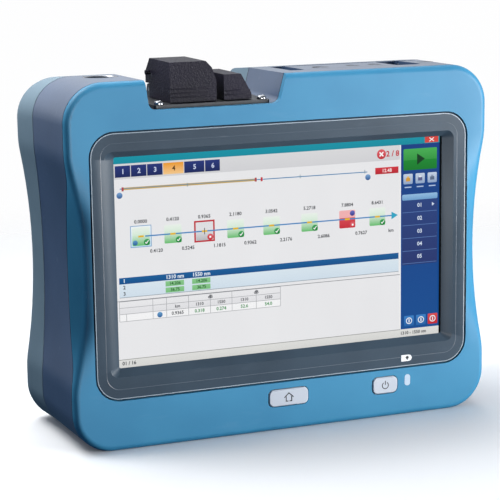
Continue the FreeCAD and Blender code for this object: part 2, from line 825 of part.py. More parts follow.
DOORS = (
    ("interface_door", "interface_door_left", "interface_door_right"),
    ("power_door", "power_door_left", "power_door_right"),
)
SOCKETS = (
    ("network_socket", "network_place", "network_socket_width", "network_socket_length"),
    ("usb_socket_left", "usb_place", "usb_socket_width", "usb_socket_length"),
    ("usb_socket_right", "usb_place + usb_pitch", "usb_socket_width", "usb_socket_length"),
    ("power_socket", "power_socket_place", "power_socket_width", "power_socket_length"),
)


def make_middle_housing():
    blank = combine("Cut", "middle_shell", envelope, up_to_middle, from_middle, hollow)
    posts = rings("front_boss", "case_boss_radius", "case_screw_shank", CHASSIS_BACK, "rear_seam - seam_gap")
    blank = combine("Fuse", "middle_with_shelf", blank, make_shelf(), *posts)
    bores = rings("front_bore", "case_screw_shank", "case_screw_shank", SHELF_BACK, "rear_seam")
    blank = combine("Cut", "middle_blank", blank, recess, *bores)
    body = new_body("middle_housing", blank)
    for name, left, right in DOORS:
        seat = level(body, name + "_seat", ABOVE)
        rounded_rectangle(seat, f"{left} - door_gap", f"{right} + door_gap",
                          behind_face("door_front - door_gap"),
                          behind_face("door_back + 2 * door_gap"), "door_gap")
        pocket(body, name + "_seat_cut", seat, f"{ABOVE} - {DOOR_FLOOR}")
        groove = level(body, name + "_groove", ABOVE)
        rounded_rectangle(groove, f"{left} - door_gap", f"{right} + door_gap",
                          behind_face("door_back - 2 * door_knuckle - 2 * door_gap"),
                          behind_face("door_back + 2 * door_gap"), "door_gap")
        pocket(body, name + "_groove_cut", groove,
               f"{ABOVE} - {DOOR_PIVOT_HEIGHT} + door_knuckle + door_gap")
    slots = level(body, "finger_slots", ABOVE)
    for left, right in (("slot_left", "interface_door_left"), ("interface_door_right", "power_door_left")):
        rounded_rectangle(slots, f"{left} + door_gap", f"{right} - door_gap", behind_face("slot_front"),
                          behind_face("slot_back"), "slot_corner")
    pocket(body, "finger_slots_cut", slots, f"{ABOVE} - {DECK_TOP} + slot_deep")
    holes = level(body, "socket_holes", ABOVE)
    for name, x, width, length in SOCKETS:
        rounded_rectangle(holes, f"{x} - {width} / 2 - fit_gap / 2", f"{x} + {width} / 2 + fit_gap / 2",
                          behind_face("socket_front - fit_gap / 2"),
                          behind_face(f"socket_front + {length} + fit_gap / 2"), "fit_gap")
    pocket(body, "socket_holes_cut", holes, f"{ABOVE} - {DECK_TOP} + 2 * deck_drop")
    well = level(body, "meter_well", ABOVE)
    circle(well, "meter_place", behind_face("meter_depth"), "meter_recess_radius")
    pocket(body, "meter_well_cut", well, f"{ABOVE} - {METER_FLOOR}")
    return piece(body, "middle_housing")


# ---- rear shell --------------------------------------------------------------------------------------

STAND_TOP = "(stand_pivot + stand_thick / 2)"
STAND_FRONT = f"({STAND_BACK} - stand_thick)"
LEG_INNER = "(stand_width / 2 - stand_leg)"
PIN_INNER = f"({LEG_INNER} - stand_gap - stand_pin_grip)"
BATTERY_DOOR = (f"-{BAY_SIDE} - door_margin", f"{BAY_SIDE} + door_margin", "bay_low - door_margin",
                "bay_high + door_top_margin")
BATTERY_SCREWS = [(f"{side} * ({BAY_SIDE} - door_margin)", "bay_high + door_top_margin / 2")
                  for side in (-1, 1)]


def make_stand_pins():
    length = "stand_leg + 2 * stand_gap + 2 * stand_pin_grip"
    pins = []
    for name, start in (("stand_pin_left", f"-{PIN_INNER} - ({length})"), ("stand_pin_right", PIN_INNER)):
        pins.append(cylinder(name, "stand_pin_radius", length, start, behind_face(STAND_MIDDLE),
                             "stand_pivot", "X"))
        piece(pins[-1], name)
    return pins


def make_rear_shell(pins):
    shell = combine("Common", "rear_skin", envelope, behind_rear)
    shell = combine("Cut", "rear_open_shell", shell, hollow)
    posts = rings("rear_boss", "case_boss_radius", "case_screw_shank", "rear_seam + seam_gap", HOLLOW_BACK)
    bay = box("bay_block", f"-{BAY_SIDE} - bay_wall", f"{BAY_SIDE} + bay_wall", "bay_front - bay_wall",
              "overall_depth - battery_door_thick", "bay_low - bay_wall", "bay_high + bay_wall")
    shell = combine("Fuse", "rear_with_bosses", shell, bay, *posts)
    bores = rings("rear_bore", "case_screw_shank", "case_screw_shank", "rear_seam - seam_gap",
                  "overall_depth")
    shell = combine("Cut", "rear_blank", shell, recess, *bores)
    body = new_body("rear_moulding", shell)
    behind = "overall_depth + wall"
    bay = facing(body, "battery_bay", behind)
    rounded_rectangle(bay, f"-{BAY_SIDE}", BAY_SIDE, "bay_low", "bay_high", "wall")
    pocket(body, "battery_bay_cut", bay, f"{behind} - bay_front", reverse=True)
    lid = facing(body, "battery_door_seat", behind)
    rounded_rectangle(lid, *grown(BATTERY_DOOR, "fit_gap"), "battery_door_corner + fit_gap")
    pocket(body, "battery_door_seat_cut", lid, "battery_door_thick + wall", reverse=True)
    depth = f"{behind} - {STAND_FRONT} + stand_gap"
    bar = facing(body, "stand_bar_slot", behind)
    rounded_rectangle(bar, "-stand_width / 2 - stand_gap", "stand_width / 2 + stand_gap",
                      "stand_low - stand_gap",
                      "stand_low + stand_bar + stand_gap", "stand_corner + stand_gap")
    pocket(body, "stand_bar_slot_cut", bar, depth, reverse=True)
    for side, name in ((-1, "left"), (1, "right")):
        leg = facing(body, f"stand_leg_slot_{name}", behind)
        rounded_square(leg, f"{side} * (stand_width - stand_leg) / 2",
                       f"(stand_low + stand_corner + {STAND_TOP} + stand_gap) / 2",
                       "stand_leg + 2 * stand_gap",
                       f"{STAND_TOP} + stand_gap - stand_low - stand_corner", "stand_gap")
        pocket(body, f"stand_leg_slot_{name}_cut", leg, depth, reverse=True)
    finger = facing(body, "finger_notch", behind)
    rounded_rectangle(finger, "-finger_width / 2", "finger_width / 2", "stand_low - finger_deep",
                      "stand_low + stand_gap", "finger_deep / 3")
    pocket(body, "finger_notch_cut", finger, depth, reverse=True)
    sinks = facing(body, "case_screw_sinks", behind)
    for x, z in CASE_SCREWS:
        circle(sinks, x, z, "case_screw_radius + fit_gap")
    pocket(body, "case_screw_sinks_cut", sinks, "2 * case_screw_sink + wall", reverse=True)
    return piece(combine("Cut", "rear_shell_drilled", body, *pins), "rear_shell")


def make_battery():
    pack = plate("battery_pack", (f"-{BAY_SIDE} + battery_gap", f"{BAY_SIDE} - battery_gap",
                                  "bay_low + fit_gap", "bay_high - battery_gap"),
                 "wall / 2", "bay_front", "overall_depth - battery_door_thick - battery_gap")
    piece(pack, "battery_pack")
    door = plate("battery_door", BATTERY_DOOR, "battery_door_corner", "overall_depth - battery_door_thick",
                 "overall_depth")
    holes = facing(door, "battery_door_holes", "overall_depth")
    for x, z in BATTERY_SCREWS:
        circle(holes, x, z, "case_screw_radius")
    pocket(door, "battery_door_holes_cut", holes, "battery_door_thick + wall", reverse=True)
    piece(door, "battery_door")
    for number, (x, z) in enumerate(BATTERY_SCREWS):
        head = cylinder(f"battery_screw_head_{number}", "case_screw_radius", "battery_door_thick", x,
                        behind_face("overall_depth - battery_door_thick"), z, "Y")
        slot = box(f"battery_screw_slot_{number}", f"{x} - case_screw_radius * 2",
                   f"{x} + case_screw_radius * 2",
                   "overall_depth - battery_door_thick / 2", "overall_depth + wall",
                   f"{z} - screw_slot / 2", f"{z} + screw_slot / 2")
        piece(combine("Cut", f"battery_screw_{number + 1}_solid", head, slot), f"battery_screw_{number + 1}")


def make_case_screws():
    for number, (x, z) in enumerate(CASE_SCREWS):
        head = cylinder(f"case_screw_head_{number}", "case_screw_radius", "case_screw_sink", x,
                        behind_face("overall_depth - 2 * case_screw_sink"), z, "Y")
        shank = cylinder(f"case_screw_shank_{number}", "case_screw_shank",
                         "overall_depth - 2 * case_screw_sink - rear_seam + case_screw_reach", x,
                         behind_face("rear_seam - case_screw_reach"), z, "Y")
        piece(combine("Fuse", f"case_screw_{number + 1}_solid", head, shank), f"case_screw_{number + 1}")


def make_stand():
    """The fold-out stand: a frame round the battery door, hinged at the top of its two legs."""
    body = new_body("stand")
    sketch = facing(body, "stand_outline", STAND_BACK)
    rounded_rectangle(sketch, "-stand_width / 2", "stand_width / 2", "stand_low",
                      f"{STAND_TOP} + stand_corner",
                      "stand_corner")
    pad(body, "stand_pad", sketch, "stand_thick")
    inner = facing(body, "stand_inner", STAND_BACK)
    rounded_rectangle(inner, f"-{LEG_INNER}", LEG_INNER, "stand_low + stand_bar", "body_height", "stand_gap")
    pocket(body, "stand_inner_cut", inner, "3 * stand_thick", both=True)
    ends = facing(body, "stand_ends", STAND_BACK)
    rounded_rectangle(ends, "-stand_width", "stand_width", STAND_TOP, "body_height", "stand_gap")
    pocket(body, "stand_ends_cut", ends, "3 * stand_thick", both=True)
    top = value(STAND_TOP)
    soften(body, "stand_ends_round", "stand_round", lambda edge: lies_at(edge, "Z", top)
           and any(lies_at(edge, "Y", value(behind_face(side))) for side in (STAND_BACK, STAND_FRONT)))
    bore = sideways(body, "stand_bore")
    circle(bore, behind_face(STAND_MIDDLE), "stand_pivot", "stand_pin_radius + pin_play")
    pocket(body, "stand_bore_cut", bore, "2 * stand_width", both=True)
    return piece(body, "stand")


# ---- keys, keypad, key board and status light --------------------------------------------------------

KEY_BACK = "(plate_thick + fit_gap)"
PAD_FRONT = f"({KEY_BACK} + key_flange + key_travel + fit_gap)"
KEY_BOARD_FRONT = f"({DISPLAY_BACK} - board_thick)"


def make_key(name, place_there, width):
    body = new_body(name)
    sketch = facing(body, name + "_cap_outline", KEY_BACK)
    rounded_square(sketch, place_there, "key_centre", width, "key_height", "key_corner")
    pad(body, name + "_cap", sketch, f"{KEY_BACK} + key_proud")
    face = value(behind_face("-key_proud"))
    soften(body, name + "_edge", "key_bevel", lambda edge: lies_at(edge, "Y", face), "Chamfer")
    sketch = facing(body, name + "_flange_outline", f"{KEY_BACK} + key_flange")
    rounded_square(sketch, place_there, "key_centre", f"{width} + 2 * key_flange",
                   "key_height + 2 * key_flange", "key_corner + key_flange")
    pad(body, name + "_flange", sketch, "key_flange")
    return piece(body, name)


def make_key_parts():
    make_key("home_button", "home_place", "home_width")
    make_key("power_button", "power_key_place", "power_key_width")
    strip = ("home_place - home_width / 2 - keypad_margin",
             "power_key_place + power_key_width / 2 + keypad_margin",
             "key_centre - key_height / 2 - keypad_margin", "key_centre + key_height / 2 + keypad_margin")
    piece(plate("keypad", strip, "key_corner", PAD_FRONT, KEY_BOARD_FRONT), "keypad")
    board = (strip[0], "light_place + light_width / 2 + keypad_margin", strip[2], strip[3])
    piece(plate("key_board", board, "key_corner", KEY_BOARD_FRONT, DISPLAY_BACK), "key_board")
    lens = ("light_place - light_width / 2 + pin_play", "light_place + light_width / 2 - pin_play",
            "light_centre - light_height / 2 + pin_play", "light_centre + light_height / 2 - pin_play")
    piece(plate("status_light", lens, "light_corner - pin_play", "-pin_play", KEY_BOARD_FRONT),
          "status_light")


# ---- fibre ports and their dust caps -----------------------------------------------------------------

CAPS = (
    ("big", "big_cap_left", "big_cap_right"),
    ("small", "small_cap_left", "small_cap_right"),
)
EAR_INSET = "fit_gap"
CAP_REAR_WALL = f"({CAP_PIVOT_DEPTH} - knuckle_radius - fit_gap)"
NOTCH_TOP = f"({CAP_PIVOT_HEIGHT} + knuckle_radius + fit_gap)"


def make_cap(name, left, right, top, roof, shoulders):
    """A moulded rubber cap: its outline runs along the depth, with a hollow for the port beneath."""
    body = new_body(name + "_moulding")
    sketch = facing(body, name + "_outline", "cap_back")
    outline(sketch, [(left, CAP_FOOT), (right, CAP_FOOT), *shoulders, (left, top)])
    pad(body, name + "_pad", sketch, "cap_back - cap_front")
    high, rear = value(top), value(behind_face("cap_back"))
    soften(body, name + "_slant", "cap_slant",
           lambda edge: lies_at(edge, "Z", high) and lies_at(edge, "Y", rear),
           "Chamfer")
    notch = sideways(body, name + "_notch")
    outline(notch, [(behind_face(CAP_REAR_WALL), "recess_floor"),
                    (behind_face("cap_back + wall"), "recess_floor"),
                    (behind_face("cap_back + wall"), NOTCH_TOP), (behind_face(CAP_REAR_WALL), NOTCH_TOP)])
    pocket(body, name + "_notch_cut", notch, "2 * back_width", both=True)
    hollow_sketch = level(body, name + "_hollow", CAP_FOOT)
    rounded_rectangle(hollow_sketch, f"{left} + cap_wall", f"{right} - cap_side",
                      behind_face("cap_front + cap_wall"),
                      behind_face(f"{CAP_REAR_WALL} - cap_wall"), "cap_wall / 2")
    pocket(body, name + "_hollow_cut", hollow_sketch, f"{top} - {CAP_FOOT} - {roof}", reverse=True)
    inner = f"{left} + {EAR_INSET} + ear_width + fit_gap"
    outer = f"{right} - {EAR_INSET} - ear_width - fit_gap"
    knuckle = cylinder(name + "_knuckle", "knuckle_radius", f"({outer}) - ({inner})", inner,
                       behind_face(CAP_PIVOT_DEPTH), CAP_PIVOT_HEIGHT, "X")
    web = box(name + "_web", inner, outer, f"{CAP_REAR_WALL} - cap_wall / 2", CAP_PIVOT_DEPTH,
              f"{CAP_PIVOT_HEIGHT} - knuckle_radius / 2", f"{NOTCH_TOP} + cap_wall / 2")
    bore = cylinder(name + "_bore", "cap_pin_radius + pin_play", f"({right}) - ({left})", left,
                    behind_face(CAP_PIVOT_DEPTH), CAP_PIVOT_HEIGHT, "X")
    extras = [knuckle, web]
    if name == "dust_cap_big":
        extras.append(cylinder("lanyard_stud", "stud_radius", "2 * stud_radius + cap_wall",
                               f"{left} - 2 * stud_radius", behind_face("cap_back - cap_slant"),
                               f"{top} - cap_slant", "X"))
    solid = combine("Fuse", name + "_solid", body, *extras)
    return piece(combine("Cut", name + "_drilled", solid, bore), name)


def make_caps():
    big_shoulders = [("big_cap_right", "big_cap_top - shoulder_drop"),
                     ("big_cap_right - shoulder_step", "big_cap_top - shoulder_drop / 3"),
                     ("big_cap_right - shoulder_run", "big_cap_top")]
    make_cap("dust_cap_big", "big_cap_left", "big_cap_right", "big_cap_top", "cap_roof", big_shoulders)
    small_shoulders = [("small_cap_right", "small_cap_top - shoulder_drop"),
                       ("small_cap_right - shoulder_run", "small_cap_top")]
    make_cap("dust_cap_small", "small_cap_left", "small_cap_right", "small_cap_top", "small_cap_roof",
             small_shoulders)


def make_port_plate():
    """The plate on the recess floor, with two pairs of hinge ears, its pins and its screws."""
    body = new_body("port_plate_flat")
    sketch = level(body, "port_plate_outline", "recess_floor")
    rounded_rectangle(sketch, "port_plate_left", "port_plate_right", behind_face("port_plate_front"),
                      behind_face("port_plate_back"), "slot_corner")
    pad(body, "port_plate_pad", sketch, "port_plate_thick")
    ears, pins = [], []
    for name, left, right in CAPS:
        for number, start in enumerate((f"{left} + {EAR_INSET}", f"{right} - {EAR_INSET} - ear_width")):
            tip = cylinder(f"{name}_ear_tip_{number}", "knuckle_radius", "ear_width", start,
                           behind_face(CAP_PIVOT_DEPTH), CAP_PIVOT_HEIGHT, "X")
            root = box(f"{name}_ear_root_{number}", start, f"{start} + ear_width",
                       f"{CAP_PIVOT_DEPTH} - knuckle_radius", f"{CAP_PIVOT_DEPTH} + knuckle_radius",
                       "recess_floor", CAP_PIVOT_HEIGHT)
            ears += [tip, root]
        pin = cylinder(f"cap_pin_{name}", "cap_pin_radius", f"({right}) - ({left}) - 2 * {EAR_INSET}",
                       f"{left} + {EAR_INSET}", behind_face(CAP_PIVOT_DEPTH), CAP_PIVOT_HEIGHT, "X")
        pins.append(piece(pin, f"cap_pin_{name}"))
    screws = []
    for number, x in enumerate(("port_plate_left + port_screw_inset", "port_plate_right - port_screw_inset"),
                               1):
        y = behind_face("port_plate_front + port_screw_inset")
        head = cylinder(f"port_screw_head_{number}", "port_screw_head", "port_screw_rise", x, y, PLATE_TOP)
        shank = cylinder(f"port_screw_shank_{number}", "port_screw_head / 2", "port_plate_thick", x, y,
                         "recess_floor")
        screws.append(piece(combine("Fuse", f"port_screw_{number}_solid", head, shank),
                            f"port_screw_{number}"))
    solid = combine("Fuse", "port_plate_solid", body, *ears)
    return piece(combine("Cut", "port_plate_drilled", solid, *pins, *screws), "port_plate")


def make_ports():
    """The link port is a square adapter, the light source port a round barrel. Both take a ferrule."""
    middle = f"(cap_front + cap_wall + {CAP_REAR_WALL} - cap_wall) / 2"
    body = new_body("fibre_port")
    x = "(big_cap_left + big_cap_right) / 2"
    sketch = level(body, "fibre_port_outline", PLATE_TOP)
    rounded_square(sketch, x, behind_face(middle), "fibre_port_width", "fibre_port_length", "fit_gap")
    pad(body, "fibre_port_pad", sketch, "fibre_port_height")
    mouth = level(body, "fibre_port_mouth", f"{PLATE_TOP} + fibre_port_height")
    rounded_square(mouth, x, behind_face(middle), "fibre_port_width - cap_wall",
                   "fibre_port_length - 2 * cap_wall",
                   "fit_gap")
    pocket(body, "fibre_port_mouth_cut", mouth, "fibre_mouth_deep")
    piece(body, "fibre_port")
    x = "(small_cap_left + cap_wall + small_cap_right - cap_side) / 2"
    outer = cylinder("source_port_barrel", "source_port_radius", "source_port_height", x,
                     behind_face(middle), PLATE_TOP)
    inner = cylinder("source_port_bore", "ferrule_bore / 2", "source_port_height", x, behind_face(middle),
                     f"{PLATE_TOP} + port_plate_thick")
    piece(combine("Cut", "source_port_turned", outer, inner), "source_port")


def make_meter_port():
    """The power meter's port: a turned barrel in a well, and the detector in its boss below."""
    y = behind_face("meter_depth")
    barrel = cylinder("meter_barrel", "meter_barrel_radius", "meter_barrel_height", "meter_place", y,
                      METER_FLOOR)
    flange = cylinder("meter_flange", "meter_recess_radius - fit_gap", "port_plate_thick", "meter_place", y,
                      METER_FLOOR)
    bore = cylinder("meter_bore", "meter_bore_radius", "meter_barrel_height", "meter_place", y,
                    f"{METER_FLOOR} + port_plate_thick")
    piece(combine("Cut", "meter_port_turned", combine("Fuse", "meter_port_blank", barrel, flange), bore),
          "meter_port")
    detector = cylinder("meter_detector_can", "meter_barrel_radius", "meter_recess_depth", "meter_place", y,
                        f"{METER_FLOOR} - wall - meter_recess_depth")
    piece(detector, "meter_detector")


# ---- doors over the sockets, and the sockets ---------------------------------------------------------

def make_doors():
    """Hinged covers that lie flush with the top of the case and follow its curve. The one over the power
    socket is relieved on its underside, above the jack's mouth."""
    for name, left, right in DOORS:
        body = new_body(name + "_moulding")
        sketch = sideways(body, name + "_profile", left)
        pivot_y, pivot_z = behind_face(DOOR_PIVOT_DEPTH), DOOR_PIVOT_HEIGHT
        low, high = f"{DECK_TOP} - door_thick", ABOVE
        reach = "sqrt(door_knuckle ^ 2 - (door_thick - door_pivot_drop) ^ 2)"
        outline(sketch, [
            (behind_face("door_front"), low), (f"{pivot_y} - {reach}", low, "door_knuckle", 1),
            (f"{pivot_y} + door_knuckle", pivot_z, "door_knuckle", 1),
            (pivot_y, f"{pivot_z} + door_knuckle"),
            (pivot_y, high), (behind_face("door_front"), high),
        ])
        pad(body, name + "_pad", sketch, f"{right} - {left}")
        leaf = combine("Common", name + "_leaf", body, envelope)
        cuts = [cylinder(name + "_bore", "door_pin_radius + pin_play", f"{right} - {left}", left, pivot_y,
                         pivot_z, "X")]
        if name == "power_door":
            cuts.append(cylinder("jack_relief", "power_mouth_width / 2 + door_gap", "jack_relief_deep",
                                 "power_socket_place", behind_face("socket_front + power_socket_length / 2"),
                                 low))
        piece(combine("Cut", name + "_drilled", leaf, *cuts), name)
        pin = cylinder(name + "_pin", "door_pin_radius", f"{right} - {left} + 2 * door_gap",
                       f"{left} - door_gap",
                       pivot_y, pivot_z, "X")
        piece(pin, name + "_pin")


SOCKET_MOUTHS = {
    "network_socket": ("network_mouth_width", "network_mouth_length", "socket_corner", "socket_mouth_deep"),
    "usb_socket_left": ("usb_mouth_width", "usb_mouth_length", "socket_corner", "socket_mouth_deep"),
    "usb_socket_right": ("usb_mouth_width", "usb_mouth_length", "socket_corner", "socket_mouth_deep"),
    "power_socket": ("power_mouth_width", "power_mouth_width", "power_mouth_corner", "power_mouth_deep"),
}


def make_sockets():
    for name, x, width, length in SOCKETS:
        body = new_body(name)
        sketch = level(body, name + "_outline", DOOR_FLOOR)
        middle = behind_face(f"socket_front + {length} / 2")
        rounded_square(sketch, x, middle, width, length, "socket_corner")
        pad(body, name + "_pad", sketch, "socket_deep", reverse=True)
        mouth = level(body, name + "_mouth", DOOR_FLOOR)
        across, along, corner, deep = SOCKET_MOUTHS[name]
        rounded_square(mouth, x, middle, across, along, corner)
        pocket(body, name + "_mouth_cut", mouth, deep)
        piece(body, name)


# ---- boards and modules inside -----------------------------------------------------------------------

def make_boards():
    edges = ("-shelf_width / 2 - board_margin", "shelf_width / 2 + board_margin", "shelf_low - board_margin",
             "shelf_high + board_margin")
    board = plate("main_board", edges, "board_margin", SHELF_BACK, BOARD_BACK)
    notches = facing(board, "main_board_notches", BOARD_BACK)
    for x, z in CASE_SCREWS:
        circle(notches, x, z, "case_boss_radius + fit_gap")
    pocket(board, "main_board_notches_cut", notches, "4 * board_thick", both=True)
    piece(board, "main_board")
    middle = "(port_plate_left + port_plate_right) / 2"
    module = plate("optics_module", (f"{middle} - module_width / 2", f"{middle} + module_width / 2",
                                     "module_low",
                                     "module_high"), "wall", BOARD_BACK, f"{BOARD_BACK} + module_thick")
    piece(module, "optics_module")


make_front_cover()
make_seals()
make_screen_frame()
make_screen()
make_chassis()
make_middle_housing()
make_rear_shell(make_stand_pins())
make_battery()
make_case_screws()
make_stand()
make_key_parts()
make_caps()
make_port_plate()
make_ports()
make_meter_port()
make_doors()
make_sockets()
make_boards()

# ---- check every object, then write each sub-part ----------------------------------------------------

doc.recompute()
failed = [thing.Label for thing in doc.Objects if {"Invalid", "Error"} & set(thing.State)]
if failed:
    raise RuntimeError(f"these objects failed: {failed}")
for made in pieces:
    if made.Shape.isNull() or not made.Shape.isValid() or len(made.Shape.Solids) != 1:
        raise RuntimeError(f"{made.Label} is not one sound solid")

os.makedirs("parts", exist_ok=True)
for made in pieces:
    made.Shape.exportStep(os.path.join("parts", made.Label + ".step"))
print(len(pieces), "sub-parts written")
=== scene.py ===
# %% [markdown]
# # Dressing a handheld fibre tester
# The packed parts are the fixed frame of this scene: a blue front cover, a slate middle
# housing and a rubber rear shell, held together by screws, with a framed touch screen,
# two keys, two rubber dust caps, two hinged doors and a folding stand. Here each of them
# gets its finish, and the pieces that are too thin or too fine for the solids are added.

# %% The packed parts
import math

import bmesh
import bpy
from mathutils import Matrix, Vector


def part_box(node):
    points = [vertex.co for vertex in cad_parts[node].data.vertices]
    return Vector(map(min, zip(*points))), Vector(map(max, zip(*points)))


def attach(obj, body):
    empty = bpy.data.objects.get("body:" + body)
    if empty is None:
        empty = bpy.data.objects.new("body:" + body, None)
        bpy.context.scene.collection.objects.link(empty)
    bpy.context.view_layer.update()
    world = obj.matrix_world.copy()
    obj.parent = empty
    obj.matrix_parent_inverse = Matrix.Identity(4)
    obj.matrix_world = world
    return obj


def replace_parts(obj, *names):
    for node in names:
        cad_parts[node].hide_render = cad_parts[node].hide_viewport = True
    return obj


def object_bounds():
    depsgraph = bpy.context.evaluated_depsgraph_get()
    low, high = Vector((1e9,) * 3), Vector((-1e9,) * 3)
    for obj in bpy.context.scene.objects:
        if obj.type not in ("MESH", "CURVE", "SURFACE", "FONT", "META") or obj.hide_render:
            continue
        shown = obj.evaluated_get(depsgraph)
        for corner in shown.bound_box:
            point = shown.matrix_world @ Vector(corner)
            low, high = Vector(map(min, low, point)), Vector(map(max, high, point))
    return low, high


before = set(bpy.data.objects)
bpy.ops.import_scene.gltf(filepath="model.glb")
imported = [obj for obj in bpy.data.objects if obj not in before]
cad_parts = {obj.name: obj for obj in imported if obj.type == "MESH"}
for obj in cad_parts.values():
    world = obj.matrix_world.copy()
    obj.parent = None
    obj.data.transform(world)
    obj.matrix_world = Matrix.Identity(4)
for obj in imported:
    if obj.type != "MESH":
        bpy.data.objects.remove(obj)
for leftover in ("Cube", "Light", "Camera"):
    if leftover in bpy.data.objects:
        bpy.data.objects.remove(bpy.data.objects[leftover])
solid_box = [list(corner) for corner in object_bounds()]
MM = 0.001
print("parts", len(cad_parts), "box in mm", [[round(v / MM, 1) for v in c] for c in solid_box])

# %% [markdown]
# Blender mixes colours as linear light, while colour charts and screens are written in
# the sRGB code. One short function turns the usual six-figure code into linear values.
# The fixed numbers in it are those of the sRGB standard.


# %% Colours from their usual code
def colour(code):
    channels = [int(code[place : place + 2], 16) / 255 for place in (1, 3, 5)]
    linear = [c / 12.92 if c <= 0.04045 else ((c + 0.055) / 1.055) ** 2.4 for c in channels]
    return (*linear, 1.0)


print("mid blue in linear light", [round(c, 3) for c in colour("#4A93C0")])

# %% [markdown]
# A finish is a graph of nodes. It reads better as sums, so `Value` wraps a socket and
# turns Python's operators into Math nodes. Sums could be typed as chains of nodes by
# hand, but then a small change to a finish means untangling wires.


# %% Shader maths as Python sums
class Value:
    def __init__(self, graph, socket):
        self.graph = graph
        self.socket = socket

    def maths(self, operation, *values):
        return self.graph.node("ShaderNodeMath", {"operation": operation}, dict(enumerate(values)))

    def __add__(self, other):
        return self.maths("ADD", self, other)

    __radd__ = __add__

    def __sub__(self, other):
        return self.maths("SUBTRACT", self, other)

    def __rsub__(self, other):
        return self.maths("SUBTRACT", other, self)

    def __mul__(self, other):
        return self.maths("MULTIPLY", self, other)

    __rmul__ = __mul__

    def __truediv__(self, other):
        return self.maths("DIVIDE", self, other)

    def __abs__(self):
        return self.maths("ABSOLUTE", self)

    def most(self, other):
        return self.maths("MAXIMUM", self, other)

    def least(self, other):
        return self.maths("MINIMUM", self, other)


print("a Value knows", sorted(name.strip("_") for name in vars(Value) if callable(vars(Value)[name])))

# %% [markdown]
# Any other node comes from one method, which takes the node's type, its settings and the
# values or links of its sockets. `Graph` holds that method and the few nodes that every
# surface here needs: a place, a noise, a mix of two tones, a soft step and a bump. The
# finishes use it, and so does the sky of the room at the end.


# %% One method for every other node
class Graph:
    def __init__(self, tree, ending):
        self.tree = tree
        self.shader = tree.nodes[ending]

    def node(self, kind, settings=None, sockets=None, output=0):
        made = self.tree.nodes.new(kind)
        for name, value in (settings or {}).items():
            setattr(made, name, value)
        for name, value in (sockets or {}).items():
            if isinstance(value, Value):
                self.tree.links.new(value.socket, made.inputs[name])
            else:
                made.inputs[name].default_value = value
        return Value(self, made.outputs[output])

    def feed(self, socket, value):
        self.tree.links.new(value.socket, self.shader.inputs[socket])

    def place(self, source="Object"):
        return self.node("ShaderNodeTexCoord", output=source)

    def axes(self, source="Object"):
        where = {"Vector": self.place(source)}
        return [self.node("ShaderNodeSeparateXYZ", {}, where, axis) for axis in ("X", "Y", "Z")]

    def noise(self, size, detail=2.0, stretch=(1, 1, 1)):
        where = self.node("ShaderNodeMapping", {}, {"Vector": self.place(), "Scale": stretch})
        return self.node("ShaderNodeTexNoise", {}, {"Vector": where, "Scale": 1 / size, "Detail": detail})

    def mix(self, share, low, high):
        return self.node("ShaderNodeMix", {"data_type": "RGBA"}, {0: share, 6: low, 7: high}, 2)

    def step(self, value, low, high, least=0.0):
        span = {"Value": value, "From Min": low, "From Max": high, "To Min": least}
        return self.node("ShaderNodeMapRange", {"interpolation_type": "SMOOTHSTEP"}, span)

    def bump(self, height, strength, depth, over=None):
        sockets = {"Height": height, "Strength": strength, "Distance": depth}
        if over is not None:
            sockets["Normal"] = over
        self.feed("Normal", self.node("ShaderNodeBump", {}, sockets))


print("a Graph adds", sorted(name for name in vars(Graph) if not name.startswith("_")))

# %% [markdown]
# A finish is a material with one shader. What stays the same all over is set on its
# sockets, and what changes over the surface is fed in later. The finished ones are kept
# by the name of their slot.

# %% A finish and its shader
FINISHES = {}


class Finish(Graph):
    def __init__(self, name, fixed=None):
        self.material = bpy.data.materials.new(name)
        self.material.use_nodes = True
        super().__init__(self.material.node_tree, "Principled BSDF")
        for socket, value in (fixed or {}).items():
            self.shader.inputs[socket].default_value = value


print("finishes so far", len(FINISHES))

# %% [markdown]
# Most of the tester is moulded plastic or rubber. Their surfaces have two scales: a
# slow drift of tone, as the melt cools unevenly, and the fine spark-eroded grain of the
# mould, which breaks up the gloss. Handling adds faint scuffs, which are a little paler
# and glossier than what they cross. One function makes all three, and each finish names
# only its tones, gloss and grain.

# %% Moulded finishes
DRIFT_SIZE, DRIFT_BAND, DRIFT_SHARE = 0.03, (0.3, 0.7), 0.6
SCUFF_SIZE, SCUFF_BAND, SCUFF_RUN = 0.004, (0.62, 0.80), (0.25, 1, 1)
SCUFF_TONE, SCUFF_PALER, SCUFF_GLOSSIER = "#C9D2DC", 0.35, 0.12
GRAIN_GLOSS, GRAIN_DEPTH = 0.16, 0.35


def moulded(slot, light, dark, gloss, grain, relief, fixed=None, scuff=0.25, over=None):
    finish = Finish(slot + "_finish", fixed)
    slow = finish.step(finish.noise(DRIFT_SIZE, detail=3.0), *DRIFT_BAND)
    fine = finish.noise(grain, detail=3.0)
    rubbed = finish.step(finish.noise(SCUFF_SIZE, 4.0, SCUFF_RUN), *SCUFF_BAND) * scuff
    tone = finish.mix(slow * DRIFT_SHARE + fine * (1 - DRIFT_SHARE), colour(dark), colour(light))
    finish.feed("Base Color", finish.mix(rubbed * SCUFF_PALER, tone, colour(SCUFF_TONE)))
    finish.feed("Roughness", gloss + (fine - 0.5) * GRAIN_GLOSS - rubbed * SCUFF_GLOSSIER)
    finish.bump(fine, relief, grain * GRAIN_DEPTH, over(finish) if over else None)
    FINISHES[slot] = finish


print("scuffs about", round(SCUFF_SIZE / SCUFF_RUN[0] / MM), "mm long")

# %% [markdown]
# The cover is sprayed in a satin blue. At the hand grips its face rolls over into the
# sides much more softly than along the top and bottom. The solid has one small round all
# the way, so the finish turns the surface's normal: over a few millimetres on both sides
# of the edge it swings from straight ahead to partly sideways. Real geometry could do
# the same, but the cover's openings would have to be cut again.

